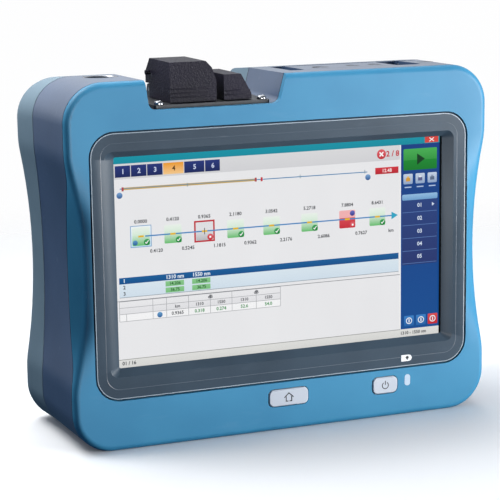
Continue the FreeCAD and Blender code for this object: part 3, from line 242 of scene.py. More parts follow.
# %% The roll of the grips
cover_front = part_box("front_cover")[0].y
GRIP_MIDDLE, GRIP_HALF, GRIP_CORE, GRIP_PINCH = 0.076, 0.052, 0.35, 0.0054
FACE_EDGE = 0.09575
ROLL = 0.009
TURN_AT_EDGE, FULL_TURN, RIGHT_ANGLE = 0.52, 0.6, math.pi / 2


def grip_roll(finish):
    x, y, z = finish.axes()
    gripped = 1 - finish.step(abs(z - GRIP_MIDDLE), GRIP_HALF * GRIP_CORE, GRIP_HALF)
    inside = (FACE_EDGE - gripped * GRIP_PINCH - abs(x)).most(0.0)
    behind = (y - cover_front).most(0.0)
    share = (TURN_AT_EDGE + (behind - inside) / (2 * ROLL)).most(0.0).least(FULL_TURN)
    turn = share * RIGHT_ANGLE
    sideways = turn.maths("SINE", turn) * x.maths("SIGN", x)
    ahead = 0 - turn.maths("COSINE", turn)
    rolled = finish.node("ShaderNodeCombineXYZ", {}, {"X": sideways, "Y": ahead, "Z": 0.0})
    plain = finish.node("ShaderNodeNewGeometry", output="Normal")
    mixed = finish.node("ShaderNodeMix", {"data_type": "VECTOR"}, {0: gripped, 4: plain, 5: rolled}, 1)
    return finish.node("ShaderNodeVectorMath", {"operation": "NORMALIZE"}, {0: mixed})


print("grips from", round((GRIP_MIDDLE - GRIP_HALF) / MM), "to", round((GRIP_MIDDLE + GRIP_HALF) / MM), "mm")

# %% [markdown]
# Every plastic and rubber piece is one row of a table. The sprayed cover and the frame
# have a thin satin film, the slate housing a clearer one, and the dust caps a coarse
# grain with hardly any gloss. Separate materials built by hand would hide how the pieces
# differ, and here the rows can be read against each other.

# %% Paint, plastic and rubber
SATIN = {"Coat Weight": 0.04, "Coat Roughness": 0.3, "Specular IOR Level": 0.26}
CLEAR_FILM = {"Coat Weight": 0.45, "Coat Roughness": 0.25}
DULL_FILM = {"Coat Weight": 0.03, "Coat Roughness": 0.3, "Specular IOR Level": 0.18}
DULL = {"Specular IOR Level": 0.15}
for row in (
    # slot, light tone, dark tone, roughness, grain in metres, relief, film, scuffs, normal
    ("blue_cover", "#3E8CB3", "#3580A8", 0.48, 0.0005, 0.10, SATIN, 0.06, grip_roll),
    ("slate_housing", "#3F5678", "#344A6A", 0.40, 0.0006, 0.16, CLEAR_FILM, 0.12),
    ("rear_rubber", "#6E8696", "#607888", 0.50, 0.0007, 0.20, None, 0.12),
    ("screen_frame", "#3D4D5B", "#33414E", 0.40, 0.0005, 0.12, DULL_FILM, 0.05),
    ("seal", "#0F1B28", "#0A141E", 0.60, 0.0005, 0.2),
    ("key", "#C6CCD6", "#BAC1CC", 0.42, 0.0006, 0.08, None, 0.1),
    ("keypad", "#2A2E35", "#1F2329", 0.62, 0.0006, 0.2),
    ("light", "#C6D6E6", "#B4C6D8", 0.30, 0.0008, 0.1),
    ("cap_rubber", "#1E1A2E", "#0A0814", 0.50, 0.0008, 1.0, DULL),
    ("plate_black", "#24272D", "#1B1E23", 0.44, 0.0005, 0.2),
    ("port_green", "#1E7F4E", "#17693F", 0.40, 0.0006, 0.1),
    ("socket_black", "#1A1B1E", "#131417", 0.5, 0.0005, 0.2),
    ("battery", "#23262B", "#1A1C20", 0.5, 0.0007, 0.2),
    ("stand", "#3A4654", "#303B48", 0.5, 0.0006, 0.2),
    ("board", "#17603C", "#104A2D", 0.42, 0.0012, 0.15),
):
    moulded(*row)
print("moulded finishes", sorted(FINISHES))

# %% [markdown]
# The screws, pins and sockets are bare metal. Turned or drawn metal is marked along one
# direction, so the grain is a noise that is stretched along it, and it moves the gloss
# more than the colour. A picture of brushed metal could be wrapped round each part, but a
# noise has no seams and fits any size.

# %% Metal finishes
LENGTHWISE, CROSSWISE = (1, 1, 0.1), (0.1, 1, 1)
STREAK_GLOSS, STREAK_RELIEF, STREAK_DEPTH = 0.2, 0.12, 0.2


def metal(slot, light, dark, gloss, grain, streak):
    finish = Finish(slot + "_finish", {"Metallic": 1.0})
    lines = finish.noise(grain, 4.0, streak)
    finish.feed("Base Color", finish.mix(lines, colour(dark), colour(light)))
    finish.feed("Roughness", gloss + (lines - 0.5) * STREAK_GLOSS)
    finish.bump(lines, STREAK_RELIEF, grain * STREAK_DEPTH)
    FINISHES[slot] = finish


moulded_count = len(FINISHES)
for row in (
    # slot, light tone, dark tone, roughness, grain in metres, direction of the streaks
    ("steel", "#B9BBC0", "#8C8F95", 0.32, 0.0006, LENGTHWISE),
    ("port_metal", "#B4B6BA", "#85888D", 0.28, 0.0006, LENGTHWISE),
    ("socket_metal", "#CFD1D5", "#A3A6AC", 0.32, 0.0006, CROSSWISE),
    ("chassis", "#C2C5CA", "#9DA1A8", 0.42, 0.0009, CROSSWISE),
    ("module", "#AEB2B8", "#8D9198", 0.5, 0.0008, (1, 1, 1)),
):
    metal(*row)
print("metal finishes", list(FINISHES)[moulded_count:])

# %% [markdown]
# The packed parts carry the name of a finish in their material slots. Each slot takes
# the finish of that name. The glass and the display have a plain dark one here, because
# the pane and the picture that are seen are drawn in their own cells further down.

# %% The finishes go onto the packed parts
for slot in ("glass", "display"):
    FINISHES[slot] = Finish(slot + "_finish", {"Base Color": colour("#0B0D10"), "Roughness": 0.3})
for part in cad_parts.values():
    for index, named in enumerate(part.data.materials):
        part.data.materials[index] = FINISHES[named.name.split(".")[0]].material
print("dressed", len(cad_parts), "parts")

# %% [markdown]
# The rounds of the housings are made of narrow straight strips. A modifier stack shades
# them as one smooth round without touching the meshes: the split corners are welded, the
# edges that are really sharp are split again, and the normals are weighted by area, so
# the large flats stay flat.

# %% Smooth rounds on the housings
SAME_POINT, SHARP_ANGLE, AREA_WEIGHT = 0.000002, math.radians(28), 100
SHELLS = ("front_cover", "middle_housing", "rear_shell")
for name in (*SHELLS, "front_seal", "rear_seal", "screen_frame", "stand"):
    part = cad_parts[name]
    part.modifiers.new("weld", "WELD").merge_threshold = SAME_POINT
    part.modifiers.new("sharp_edges", "EDGE_SPLIT").split_angle = SHARP_ANGLE
    part.modifiers.new("flat_faces", "WEIGHTED_NORMAL").weight = AREA_WEIGHT
    print("smoothed", name, len(part.data.polygons), "faces")

# %% [markdown]
# Every added piece is a mesh that is drawn in code. `finish_piece` turns a drawn mesh
# into an object, gives it its finish and hands it to the body that carries it, so that
# it follows the keys, caps, doors and stand when they move. Each piece could be handed
# over by hand, but one function can't forget it. Some finishes aren't slots of the packed
# parts, and such a piece is given the finish's name directly.


def finish_piece(name, drawn, slot, body, smooth=True):
    mesh = bpy.data.meshes.new(name)
    drawn.to_mesh(mesh)
    drawn.free()
    mesh.polygons.foreach_set("use_smooth", [smooth] * len(mesh.polygons))
    piece = bpy.data.objects.new(name, mesh)
    bpy.context.scene.collection.objects.link(piece)
    mesh.materials.append(FINISHES[slot].material)
    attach(piece, body)
    return piece


# %% [markdown]
# Many outlines here are rounded rectangles: the pane, the border round the picture, the
# screen's boxes, the lines on the frame and the shields of the sockets. They are worked
# out from four sides and a radius. `wall` joins two such outlines, point by point, into
# a band of faces, and `box_in_mm` gives a packed part's corners and middle. A bevel could
# round the outlines too, but then their points wouldn't pair up for the bands.


# %% Rounded outlines, the band between two of them, and a part's box
def rounded(left, right, low, high, radius, steps=6):
    corners = []
    for cx, cz, start in (
        (right - radius, low + radius, -90),
        (right - radius, high - radius, 0),
        (left + radius, high - radius, 90),
        (left + radius, low + radius, 180),
    ):
        for step in range(steps + 1):
            angle = math.radians(start + 90 * step / steps)
            corners.append((cx + radius * math.cos(angle), cz + radius * math.sin(angle)))
    return corners


def upright_points(drawn, outline, y):
    return [drawn.verts.new((x * MM, y, z * MM)) for x, z in outline]


def wall(drawn, first, second):
    for index in range(len(first)):
        after = (index + 1) % len(first)
        drawn.faces.new((first[index], first[after], second[after], second[index]))


def box_in_mm(node):
    low, high = (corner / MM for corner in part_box(node))
    return low, high, (low.x + high.x) / 2, (low.y + high.y) / 2


print("points of a rounded outline", len(rounded(0, 2, 0, 1, 0.2)))

# %% [markdown]
# The screen shows many small numbers. Blender's own text object draws them, and its
# outlines are turned into flat faces at once, a touch bolder than the font has them, so
# that they stay readable from afar. Text objects could stay in the scene, but as faces
# the numbers join the one mesh of the picture.

# %% Numbers as flat shapes
LETTER_SHARE, LETTER_WEIGHT = 0.7, 0.035


def letters(words, height):
    text = bpy.data.curves.new("letters", "FONT")
    text.body = words
    text.size = height / LETTER_SHARE
    text.offset = height * LETTER_WEIGHT
    text.align_x = "CENTER"
    text.align_y = "CENTER"
    text.resolution_u = 2
    holder = bpy.data.objects.new("letters", text)
    bpy.context.scene.collection.objects.link(holder)
    bpy.context.view_layer.update()
    glyphs = bpy.data.meshes.new_from_object(holder.evaluated_get(bpy.context.evaluated_depsgraph_get()))
    places = [(point.co.x, point.co.y) for point in glyphs.vertices]
    faces = [list(glyph.vertices) for glyph in glyphs.polygons]
    bpy.data.objects.remove(holder)
    bpy.data.curves.remove(text)
    bpy.data.meshes.remove(glyphs)
    return places, faces


print("the figure 8 has", len(letters("8", 1)[0]), "corners")

# %% [markdown]
# The picture on the screen is ink on glass seen from the front: flat shapes in many
# colours, stacked in layers a few hundredths of a millimetre apart. They are one mesh,
# and each corner of a shape keeps its own ink in a colour attribute, which the finish
# reads as light. Corners with different inks give the soft shading of the buttons. An
# image texture could hold the picture too, but a mesh stays sharp at any distance.


# %% A mesh that holds the picture's inks
class Picture:
    LAYER = 0.02 * MM

    def __init__(self, front):
        self.front = front
        self.drawn = bmesh.new()
        self.ink = self.drawn.verts.layers.float_color.new("ink")
        self.shapes = 0

    def corner(self, x, z, layer, ink):
        point = self.drawn.verts.new((x * MM, self.front - layer * self.LAYER, z * MM))
        point[self.ink] = ink
        return point

    def shape(self, corners, layer, ink, top=None):
        foot = min(z for _, z in corners)
        span = (max(z for _, z in corners) - foot) or 1
        low, high = Vector(colour(ink)), Vector(colour(top or ink))
        points = [self.corner(x, z, layer, low.lerp(high, (z - foot) / span)) for x, z in corners]
        self.drawn.faces.new(points)
        self.shapes += 1

    def block(self, left, right, low, high, layer, ink, top=None, radius=0.0):
        corners = [(left, low), (right, low), (right, high), (left, high)]
        if radius:
            corners = rounded(left, right, low, high, radius, 4)
        self.shape(corners, layer, ink, top)

    def disc(self, x, z, radius, layer, ink, top=None):
        turn = [math.radians(360 * step / 20) for step in range(20)]
        self.shape([(x + radius * math.cos(a), z + radius * math.sin(a)) for a in turn], layer, ink, top)

    def line(self, x, z, to_x, to_z, width, layer, ink):
        run = Vector((to_x - x, to_z - z)).normalized() * width / 2
        side = Vector((-run.y, run.x))
        ends = ((x, z, -1), (to_x, to_z, -1), (to_x, to_z, 1), (x, z, 1))
        self.shape([(ex + side.x * way, ez + side.y * way) for ex, ez, way in ends], layer, ink)

    def cross(self, left, right, low, high, width, layer, ink):
        self.line(left, low, right, high, width, layer, ink)
        self.line(left, high, right, low, width, layer, ink)

    def figures(self, words, x, z, height, layer, ink):
        places, faces = letters(words, height)
        points = [self.corner(across + x, up + z, layer, colour(ink)) for across, up in places]
        for face in faces:
            self.drawn.faces.new([points[index] for index in face])
        self.shapes += 1


picture = Picture(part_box("display_panel")[0].y)
print("layers are", round(Picture.LAYER / MM, 2), "mm apart")

# %% [markdown]
# The layout is a made-up measuring page that holds numbers and units only. It starts
# with the sheet, a teal bar with a button to close the page, and a row of numbered tabs
# of which one is lit. Sides and heights are in millimetres on the case. What lies on top
# is drawn on a higher layer, so nothing has to be cut out.

# %% The bar and the tabs
LEFT_END, RIGHT_END, FOOT, HEAD = -75.0, 74.6, 34.8, 124.2
BAR_FOOT, TABS_FOOT, MAIN_RIGHT = 121.0, 114.6, 55.5
SHEET, WHITE, RED, AMBER, INK = "#ECECEE", "#FFFFFF", "#C92A36", "#EE9A1E", "#33363C"
LIT_TAB = 3

picture.block(LEFT_END, RIGHT_END, FOOT, HEAD, 1, SHEET)
picture.block(LEFT_END, RIGHT_END, BAR_FOOT, HEAD, 2, "#0F8DA1", "#1295A8")
picture.block(67.4, 74.0, 121.3, 124.0, 3, "#D8453B")
picture.cross(69.6, 71.8, 121.8, 123.4, 0.35, 4, WHITE)
picture.block(LEFT_END, MAIN_RIGHT, TABS_FOOT, BAR_FOOT, 2, "#D5D5D8", "#DCDCDE")
tab_sides = [-74.3, -67.4, -60.4, -53.4, -44.2, -35.0, -28.1]
for index, (left, right) in enumerate(zip(tab_sides, tab_sides[1:])):
    tones, number_ink = (("#17235A", "#26357A"), "#C9D3EE")
    if index == LIT_TAB:
        tones, number_ink = (("#F6C98A", AMBER), "#5A3B10")
    picture.block(left, right - 0.3, 115.4, 120.2, 3, *tones)
    picture.figures(str(index + 1), (left + right) / 2, 117.7, 2.0, 4, number_ink)
print("tabs", len(tab_sides) - 1)

# %% [markdown]
# Under the tabs an overview shows the whole fibre as one thin line, with a stretch of it
# in gold, small ticks where something was found, and a round handle at each end. On its
# right are a result in red and a sign for the faults. The line falls a little from left
# to right, as light grows weaker along a fibre.

# %% The overview of the fibre
picture.line(-72.4, 110.6, 39.6, 110.2, 0.4, 3, "#4B86B4")
picture.line(-71.0, 110.6, -12.5, 110.4, 1.0, 4, "#C9A24A")
picture.line(-71.0, 110.7, -12.5, 110.5, 0.35, 5, "#7E9AA6")
for x, ink in ((-71.2, "#B3474A"), (-12.4, "#B3474A"), (-9.7, RED)):
    picture.block(x - 0.45, x + 0.45, 109.6, 111.3, 6, ink)
for x in (-43.0, 8.0, 38.4):
    picture.line(x, 109.6, x, 111.2, 0.3, 6, "#6F8F9B")
for x in (-72.6, 39.9):
    picture.disc(x, 107.9, 1.3, 3, "#1F4E8C", "#7FA9D8")
picture.block(43.4, 54.6, 108.8, 111.7, 3, "#B71F2B", "#D8343E")
picture.figures("12.48", 49.0, 110.2, 1.5, 4, "#FFE3E3")
picture.disc(46.4, 117.5, 2.2, 3, "#C32531", "#E4636A")
picture.cross(45.5, 47.3, 116.6, 118.4, 0.6, 4, WHITE)
picture.figures("2 / 8", 51.8, 117.4, 2.4, 4, RED)
print("shapes so far", picture.shapes)

# %% [markdown]
# The middle of the page is a chain of rounded boxes, one for each joint or connector on
# the fibre. A box has a pale upper half and a darker lower one, a small yellow bar on the
# chain's line, and a round mark that says good or faulty. One function draws them all,
# and the tones tell them apart.

# %% One result box
CHAIN, BOX_HALF, BOX_REACH, GROUND_HALF, MARK_RADIUS = 90.2, 3.8, 3.9, 4.6, 1.35
GOOD_BOX, GREY_BOX, RED_BOX = ("#63BE6A", "#D6EDD8"), ("#B9B9BD", "#E3E3E6"), (RED, "#F4B3B3")


def ground(x, rim, half, tones):
    for layer, reach, inks in ((2, GROUND_HALF, (rim,)), (3, half, tones)):
        picture.block(x - reach, x + reach, CHAIN - reach, CHAIN + reach, layer, *inks)


def result_box(x, tones, faulty):
    lower, upper = tones
    crown = upper if faulty else "#EEF6EE"
    belt = "#D9474F" if tones == RED_BOX else upper
    left, right = x - BOX_HALF, x + BOX_HALF
    picture.block(left, right, CHAIN, CHAIN + BOX_REACH, 4, upper, crown, 0.5)
    picture.block(left, right, CHAIN - BOX_REACH, CHAIN + 0.6, 5, lower, belt, 0.5)
    picture.block(x - 1.2, x + 1.2, CHAIN - 0.4, CHAIN + 0.4, 7, "#E8B92E")
    mark = (RED, "#E06169") if faulty else ("#0E7A30", "#39A457")
    picture.disc(x + 2.5, CHAIN - 2.6, MARK_RADIUS, 8, *mark)
    if faulty:
        picture.block(x + 2.1, x + 2.9, CHAIN - 3.0, CHAIN - 2.2, 9, WHITE)
    else:
        picture.line(x + 1.8, CHAIN - 2.6, x + 2.3, CHAIN - 3.2, 0.35, 9, WHITE)
        picture.line(x + 2.2, CHAIN - 3.2, x + 3.2, CHAIN - 1.9, 0.35, 9, WHITE)


print("a box is", 2 * BOX_HALF, "by", 2 * BOX_REACH, "mm")

# %% [markdown]
# A line with an arrow runs through all the boxes. Over each box stands its distance, and
# under the gap after it the length of that stretch. The first box has a pale blue ground,
# and the chosen one a red frame. One loop sets them, so a box and its numbers can't drift
# apart.

# %% The chain of boxes
STATIONS = [-63.8, -49.8, -35.8, -21.8, -5.4, 12.2, 30.0, 44.4]
PLACES = ["0.0000", "0.4120", "0.9365", "2.1180", "3.0542", "5.2718", "7.8804", "8.6431"]
LENGTHS = ["0.4120", "0.5245", "1.1815", "0.9362", "2.2176", "2.6086", "0.7627", "km"]
FIRST, CHOSEN, BROKEN = 0, 2, 6
PLACE_RISE, LENGTH_STEP, CHAIN_FIGURE = 6.2, 6.6, 1.45
picture.line(-62.0, CHAIN, 51.4, CHAIN, 0.55, 6, "#3F86C4")
picture.shape([(51.2, CHAIN - 1.7), (54.3, CHAIN), (51.2, CHAIN + 1.7)], 6, "#2FA6C6")
ground(STATIONS[FIRST], "#6FA0CC", 4.3, ("#C4E2F2", "#F3FAFD"))
ground(STATIONS[CHOSEN], "#C22B36", BOX_REACH, ("#F1D8D9",))
for index, x in enumerate(STATIONS):
    tones = {CHOSEN: GREY_BOX, BROKEN: RED_BOX}.get(index, GOOD_BOX)
    result_box(x, tones, index in (CHOSEN, BROKEN))
    picture.figures(PLACES[index], x, CHAIN + PLACE_RISE, CHAIN_FIGURE, 4, INK)
    picture.figures(LENGTHS[index], x + LENGTH_STEP, CHAIN - LENGTH_STEP, CHAIN_FIGURE, 4, INK)
picture.line(STATIONS[CHOSEN], CHAIN - 1.4, STATIONS[CHOSEN], CHAIN + 1.4, 0.3, 8, INK)
picture.disc(STATIONS[FIRST] - 2.6, CHAIN - 2.6, 1.1, 8, "#1B5A96", "#5F9BCB")
picture.disc(STATIONS[BROKEN] + 2.4, CHAIN + 2.5, 1.2, 8, "#2D2F84", "#6C70C4")
print("boxes in the chain", len(STATIONS))

# %% [markdown]
# Below the chain comes a summary for the two wavelengths: their names on a dark band, and
# two rows of green fields with a value each on a pale one. The fields are drawn over the
# bands, so a band stays one shape.

# %% The summary of both wavelengths
PANEL_RIGHT, PALE_FIGURE, RULE = 54.7, "#EAF3FA", "#A7A8AC"
SUMMARY_ROWS = (71.9, 69.1, 66.4)
picture.block(-73.8, PANEL_RIGHT, 70.6, 73.3, 3, "#0B4F8A", "#125D9B")
picture.block(-73.8, PANEL_RIGHT, 65.0, 70.6, 3, "#D3E2EE", "#DCE9F2")
picture.line(-73.8, 64.9, PANEL_RIGHT, 64.9, 0.25, 4, "#8E9AA4")
picture.line(-74.8, 63.4, MAIN_RIGHT, 63.4, 0.25, 4, "#77797E")
for place, unit in ((-49.4, "1310 nm"), (-37.6, "1550 nm")):
    picture.figures(unit, place, SUMMARY_ROWS[0], 1.6, 4, PALE_FIGURE)
    for height, value in zip(SUMMARY_ROWS[1:], ("14.206", "36.75")):
        picture.block(place - 4.2, place + 4.0, height - 1.1, height + 1.1, 4, "#7CC07E", "#8CCB8E")
        picture.figures(value, place, height, 1.3, 5, "#1D5A2A")
for height, figure, ink in zip(SUMMARY_ROWS, "123", (PALE_FIGURE, INK, INK)):
    picture.figures(figure, -71.6, height, 1.5, 4, ink)
print("rows in the summary", len(SUMMARY_ROWS))

# %% [markdown]
# Under the summary is a small ruled table with two rows of headings and one of values.
# The rules are thin lines on pale blocks. Building the table cell by cell would draw
# every inner rule twice.

# %% The table of values
COLUMNS = [-74.0, -71.0, -59.4, -53.4, -43.6, -33.8, -24.0, -12.9, -1.7]
ROWS = [54.7, 57.8, 60.5, 63.2]
GOOD_FIGURE = "#1E8F3E"
picture.block(COLUMNS[0], COLUMNS[-1], ROWS[1], ROWS[-1], 3, "#E4E4E7", "#EDEDEF")
picture.block(COLUMNS[0], COLUMNS[-1], ROWS[0], ROWS[1], 3, "#F7F7F8")
for index, x in enumerate(COLUMNS):
    picture.line(x, ROWS[0], x, ROWS[1] if index == 1 else ROWS[-1], 0.22, 4, RULE)
for height in ROWS:
    picture.line(COLUMNS[0], height, COLUMNS[-1], height, 0.22, 4, RULE)
for middle, value, heading, ink in (
    (-48.5, "0.9365", "km", INK),
    (-38.7, "0.318", "1310", GOOD_FIGURE),
    (-28.9, "0.274", "1550", GOOD_FIGURE),
    (-18.4, "52.6", "1310", GOOD_FIGURE),
    (-7.3, "54.0", "1550", GOOD_FIGURE),
):
    picture.figures(value, middle, 56.2, 1.4, 5, ink)
    picture.figures(heading, middle, 59.1, 1.3, 5, INK)
for middle in (-33.8, -12.9):
    picture.figures("dB", middle, 61.8, 1.4, 5, INK)
picture.disc(-56.4, 56.2, 1.2, 5, "#1B5A96", "#6FA6D4")
print("columns in the table", len(COLUMNS) - 1)

# %% [markdown]
# A grey line along the foot holds the page's number and the wavelengths. The side bar on
# the right is blue. At its top a green button with an arrow starts the test, and three
# small buttons are under it. Two inks in one shape give each button its shading.

# %% The foot line and the side bar
FOOT_TOP, LIST_FIGURE = 38.4, "#D6E2F4"
picture.block(LEFT_END, RIGHT_END, FOOT, FOOT_TOP, 6, "#D9D9D6", "#E2E2DF")
picture.line(LEFT_END, FOOT_TOP, 55.6, FOOT_TOP, 0.25, 7, "#8B8B88")
picture.figures("01 / 16", -70.4, 36.7, 1.5, 8, INK)
picture.figures("1310 - 1550 nm", 62.0, 36.6, 1.4, 8, INK)
picture.block(55.7, RIGHT_END, FOOT_TOP, BAR_FOOT, 3, "#0A4C92", "#123C84")
picture.block(55.3, 55.8, FOOT_TOP, BAR_FOOT, 4, "#F4F6F8")
picture.block(57.0, 73.3, 109.6, 119.0, 5, "#0C7C22", "#48B052", 0.5)
picture.block(57.0, 73.3, 109.6, 114.0, 6, "#0D7A23", "#17892C", 0.5)
picture.shape([(63.6, 111.8), (67.4, 114.3), (63.6, 116.8)], 7, "#0A3A14")
for left, body_ink, cap_ink in (
    (57.0, "#D79A35", "#E8B65A"),
    (62.9, "#5A5F8E", "#E8EAF2"),
    (68.8, "#5C6C86", "#8D9BB3"),
):
    picture.block(left, left + 4.5, 103.5, 108.0, 5, "#8FA6C8", "#C9D6E8", 0.5)
    picture.block(left + 1.2, left + 3.3, 104.7, 106.2, 6, body_ink)
    picture.block(left + 1.7, left + 2.8, 106.2, 106.9, 6, cap_ink)
    picture.line(left + 0.6, 102.1, left + 3.9, 102.1, 0.5, 5, "#AFC4E4")
print("shapes so far", picture.shapes)

# %% [markdown]
# The rest of the side bar is a list with five numbered rows and a small arrow, and three
# round signs at the foot, two on blue and one on red. The rows differ only in height and
# the signs only in place and tone, so both are loops.

# %% The list and the round signs
picture.block(56.4, 73.7, 96.3, 98.9, 5, "#6E9FCD", "#94BEE2", 0.6)
picture.block(56.4, 73.7, 67.4, 96.3, 4, "#25346E", "#27407E")
for number, height in enumerate((91.3, 85.5, 79.7, 74.0, 68.4), 1):
    picture.line(56.6, height - 0.4, 73.4, height - 0.4, 0.22, 5, "#5B7EB8")
    picture.figures(f"{number:02d}", 65.0, height + 2.5, 1.7, 5, LIST_FIGURE)
picture.shape([(71.0, 93.1), (72.2, 93.9), (71.0, 94.7)], 5, LIST_FIGURE)
BLUE_SIGN, RED_SIGN, SIGN_WHITE = ("#1E5FA6", "#3A82C8"), ("#C41F26", "#E04A4A"), "#F1F5FA"
for left, tones in ((57.5, BLUE_SIGN), (63.4, BLUE_SIGN), (69.2, RED_SIGN)):
    picture.block(left, left + 4.8, 39.6, 44.3, 5, *tones, radius=0.4)
    picture.disc(left + 2.4, 42.0, 1.5, 6, SIGN_WHITE)
    picture.disc(left + 2.4, 42.0, 1.1, 7, tones[0])
    picture.block(left + 2.15, left + 2.65, 41.2, 42.8, 8, SIGN_WHITE)
print("shapes in the picture", picture.shapes)

# %% [markdown]
# A screen makes its own light, so the picture is an emission that reads the inks. Its
# base is nearly black and dull, since the glass over it does the shining. A slow noise
# takes up to three hundredths of the light away, as a real backlight is never even.

# %% The lit picture becomes a piece
UNEVEN_SIZE, UNEVEN_SHARE = 0.05, 0.03
DARK_BASE = {"Base Color": (0.004, 0.004, 0.005, 1), "Roughness": 0.8, "Specular IOR Level": 0.05}
lit = Finish("display_picture", {**DARK_BASE, "Emission Strength": 1.1})
inks = lit.node("ShaderNodeAttribute", {"attribute_name": "ink"}, output="Color")
dimmed = lit.noise(UNEVEN_SIZE, 1.0) * UNEVEN_SHARE
lit.feed("Emission Color", lit.mix(dimmed, inks, colour("#000000")))
FINISHES["display"] = lit
screen_picture = finish_piece("screen_picture", picture.drawn, "display", "case", smooth=False)
print("faces in the picture", len(screen_picture.data.polygons))

# %% [markdown]
# The touch glass is a clear pane. It is made thin enough for the picture to lie behind
# it, and its front narrows slightly at both sides, as a ground edge does. Fingers leave
# smears, so its gloss and its haze vary slowly. It stands in for the packed glass, which
# is thicker and has plain edges.

# %% The touch glass
PANE_CORNER, GRIND, PANE_THICK, FRONT_SHRINK = 1.5, 0.15, 0.7, 0.999
SMEAR_SIZE, SMEAR_RUN = 0.03, (1, 1, 0.4)
CLEAN_GLOSS, SMEAR_GLOSS, CLEAN_HAZE, SMEAR_HAZE = 0.05, 0.06, 0.05, 0.04
glass_low, glass_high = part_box("touch_glass")
glass_sides = [side / MM for side in (glass_low.x, glass_high.x, glass_low.z, glass_high.z)]
pane_outline = rounded(*glass_sides, PANE_CORNER, 5)
pane = bmesh.new()
front_face = upright_points(pane, [(x * FRONT_SHRINK, z) for x, z in pane_outline], glass_low.y)
rim_face = upright_points(pane, pane_outline, glass_low.y + GRIND * MM)
back_face = upright_points(pane, pane_outline, glass_low.y + PANE_THICK * MM)
wall(pane, rim_face, front_face)
wall(pane, back_face, rim_face)
pane.faces.new(front_face)
pane.faces.new(list(reversed(back_face)))
glass = Finish("clear_glass", {"Base Color": (0.02, 0.03, 0.035, 1), "Specular IOR Level": 0.6})
smears = glass.noise(SMEAR_SIZE, 3.0, SMEAR_RUN)
glass.feed("Roughness", CLEAN_GLOSS + smears * SMEAR_GLOSS)
glass.feed("Alpha", CLEAN_HAZE + smears * SMEAR_HAZE)
FINISHES["glass"] = glass
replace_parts(finish_piece("touch_pane", pane, "glass", "case", smooth=False), "touch_glass")
print("sides of the pane in mm", [round(side, 1) for side in glass_sides])

# %% [markdown]
# Behind the glass a black printed border hides the seam between the screen and its frame.
# It is one flat band, from the outline of the pane to that of the picture. A texture on
# the glass could do it too, but a mesh keeps its edge sharp at any distance.

# %% The printed border behind the glass
BORDER_DEPTH, PICTURE_CORNER = 0.75, 0.3
border = bmesh.new()
border_outer, border_inner = (
    upright_points(border, outline, glass_low.y + BORDER_DEPTH * MM)
    for outline in (pane_outline, rounded(LEFT_END, RIGHT_END, FOOT, HEAD, PICTURE_CORNER, 5))
)
wall(border, border_outer, border_inner)
moulded("printed_black", "#0C0D10", "#08090B", 0.3, 0.0006, 0.05)
finish_piece("glass_border", border, "printed_black", "case", smooth=False)
print("border on the left", round(LEFT_END - glass_sides[0], 1), "mm wide")

# %% [markdown]
# The keys, the frame and the doors carry small printed marks: a house, a power sign, a
# battery and a sign for each socket. A mark is ink with a little body, so it is a thin
# raised mesh and not a flat sheet. All of them are built from straight strokes and arcs.


# %% Strokes and arcs
def stroke(x, z, to_x, to_z, width):
    run = Vector((to_x - x, to_z - z)).normalized() * width / 2
    side = Vector((-run.y, run.x))
    return [
        (x - run.x - side.x, z - run.y - side.y),
        (to_x + run.x - side.x, to_z + run.y - side.y),
        (to_x + run.x + side.x, to_z + run.y + side.y),
        (x - run.x + side.x, z - run.y + side.y),
    ]


def arc(radius, start, end, width, steps=14):
    inner, outer = radius - width / 2, radius + width / 2
    strokes = []
    for step in range(steps):
        a, b = (math.radians(start + (end - start) * (step + part) / steps) for part in (0, 1))
        corners = ((inner, a), (outer, a), (outer, b), (inner, b))
        strokes.append([(reach * math.cos(angle), reach * math.sin(angle)) for reach, angle in corners])
    return strokes


print("a ring of", len(arc(1, 0, 360, 0.1)), "strokes")

# %% [markdown]
# `printed` lays the strokes on any face. It is told where the mark sits and which way
# across, up and out are. The ink reaches a little into the face and stands a little proud
# of it, so that no gap shows at a flat angle.

# %% Printed marks
INK_SUNK, INK_RAISED = 0.02, 0.04
RIGHT, UP, FRONT = Vector((1, 0, 0)), Vector((0, 0, 1)), Vector((0, -1, 0))


def printed(name, strokes, origin, across, up, out, slot, body):
    drawn = bmesh.new()
    for outline in strokes:
        flat = [origin + across * x * MM + up * z * MM for x, z in outline]
        low = [drawn.verts.new(point - out * INK_SUNK * MM) for point in flat]
        high = [drawn.verts.new(point + out * INK_RAISED * MM) for point in flat]
        drawn.faces.new(high)
        wall(drawn, low, high)
    bmesh.ops.recalc_face_normals(drawn, faces=drawn.faces)
    finish_piece(name, drawn, slot, body, smooth=False)


for ink, light, dark in (("dark_ink", "#23262D", "#1A1D23"), ("white_ink", "#F2F4F6", "#E6E9EC")):
    moulded(ink, light, dark, 0.5, 0.0006, 0.1, None, 0.0)
print("ink stands", INK_RAISED, "mm proud")

# %% [markdown]
# The left key carries a house for the start page, drawn as six lines with a gap for the
# door. The right one has the usual power sign, an open ring with a bar. Each mark rides
# on its key, so it goes in with it. A texture would need the keys unwrapped first.

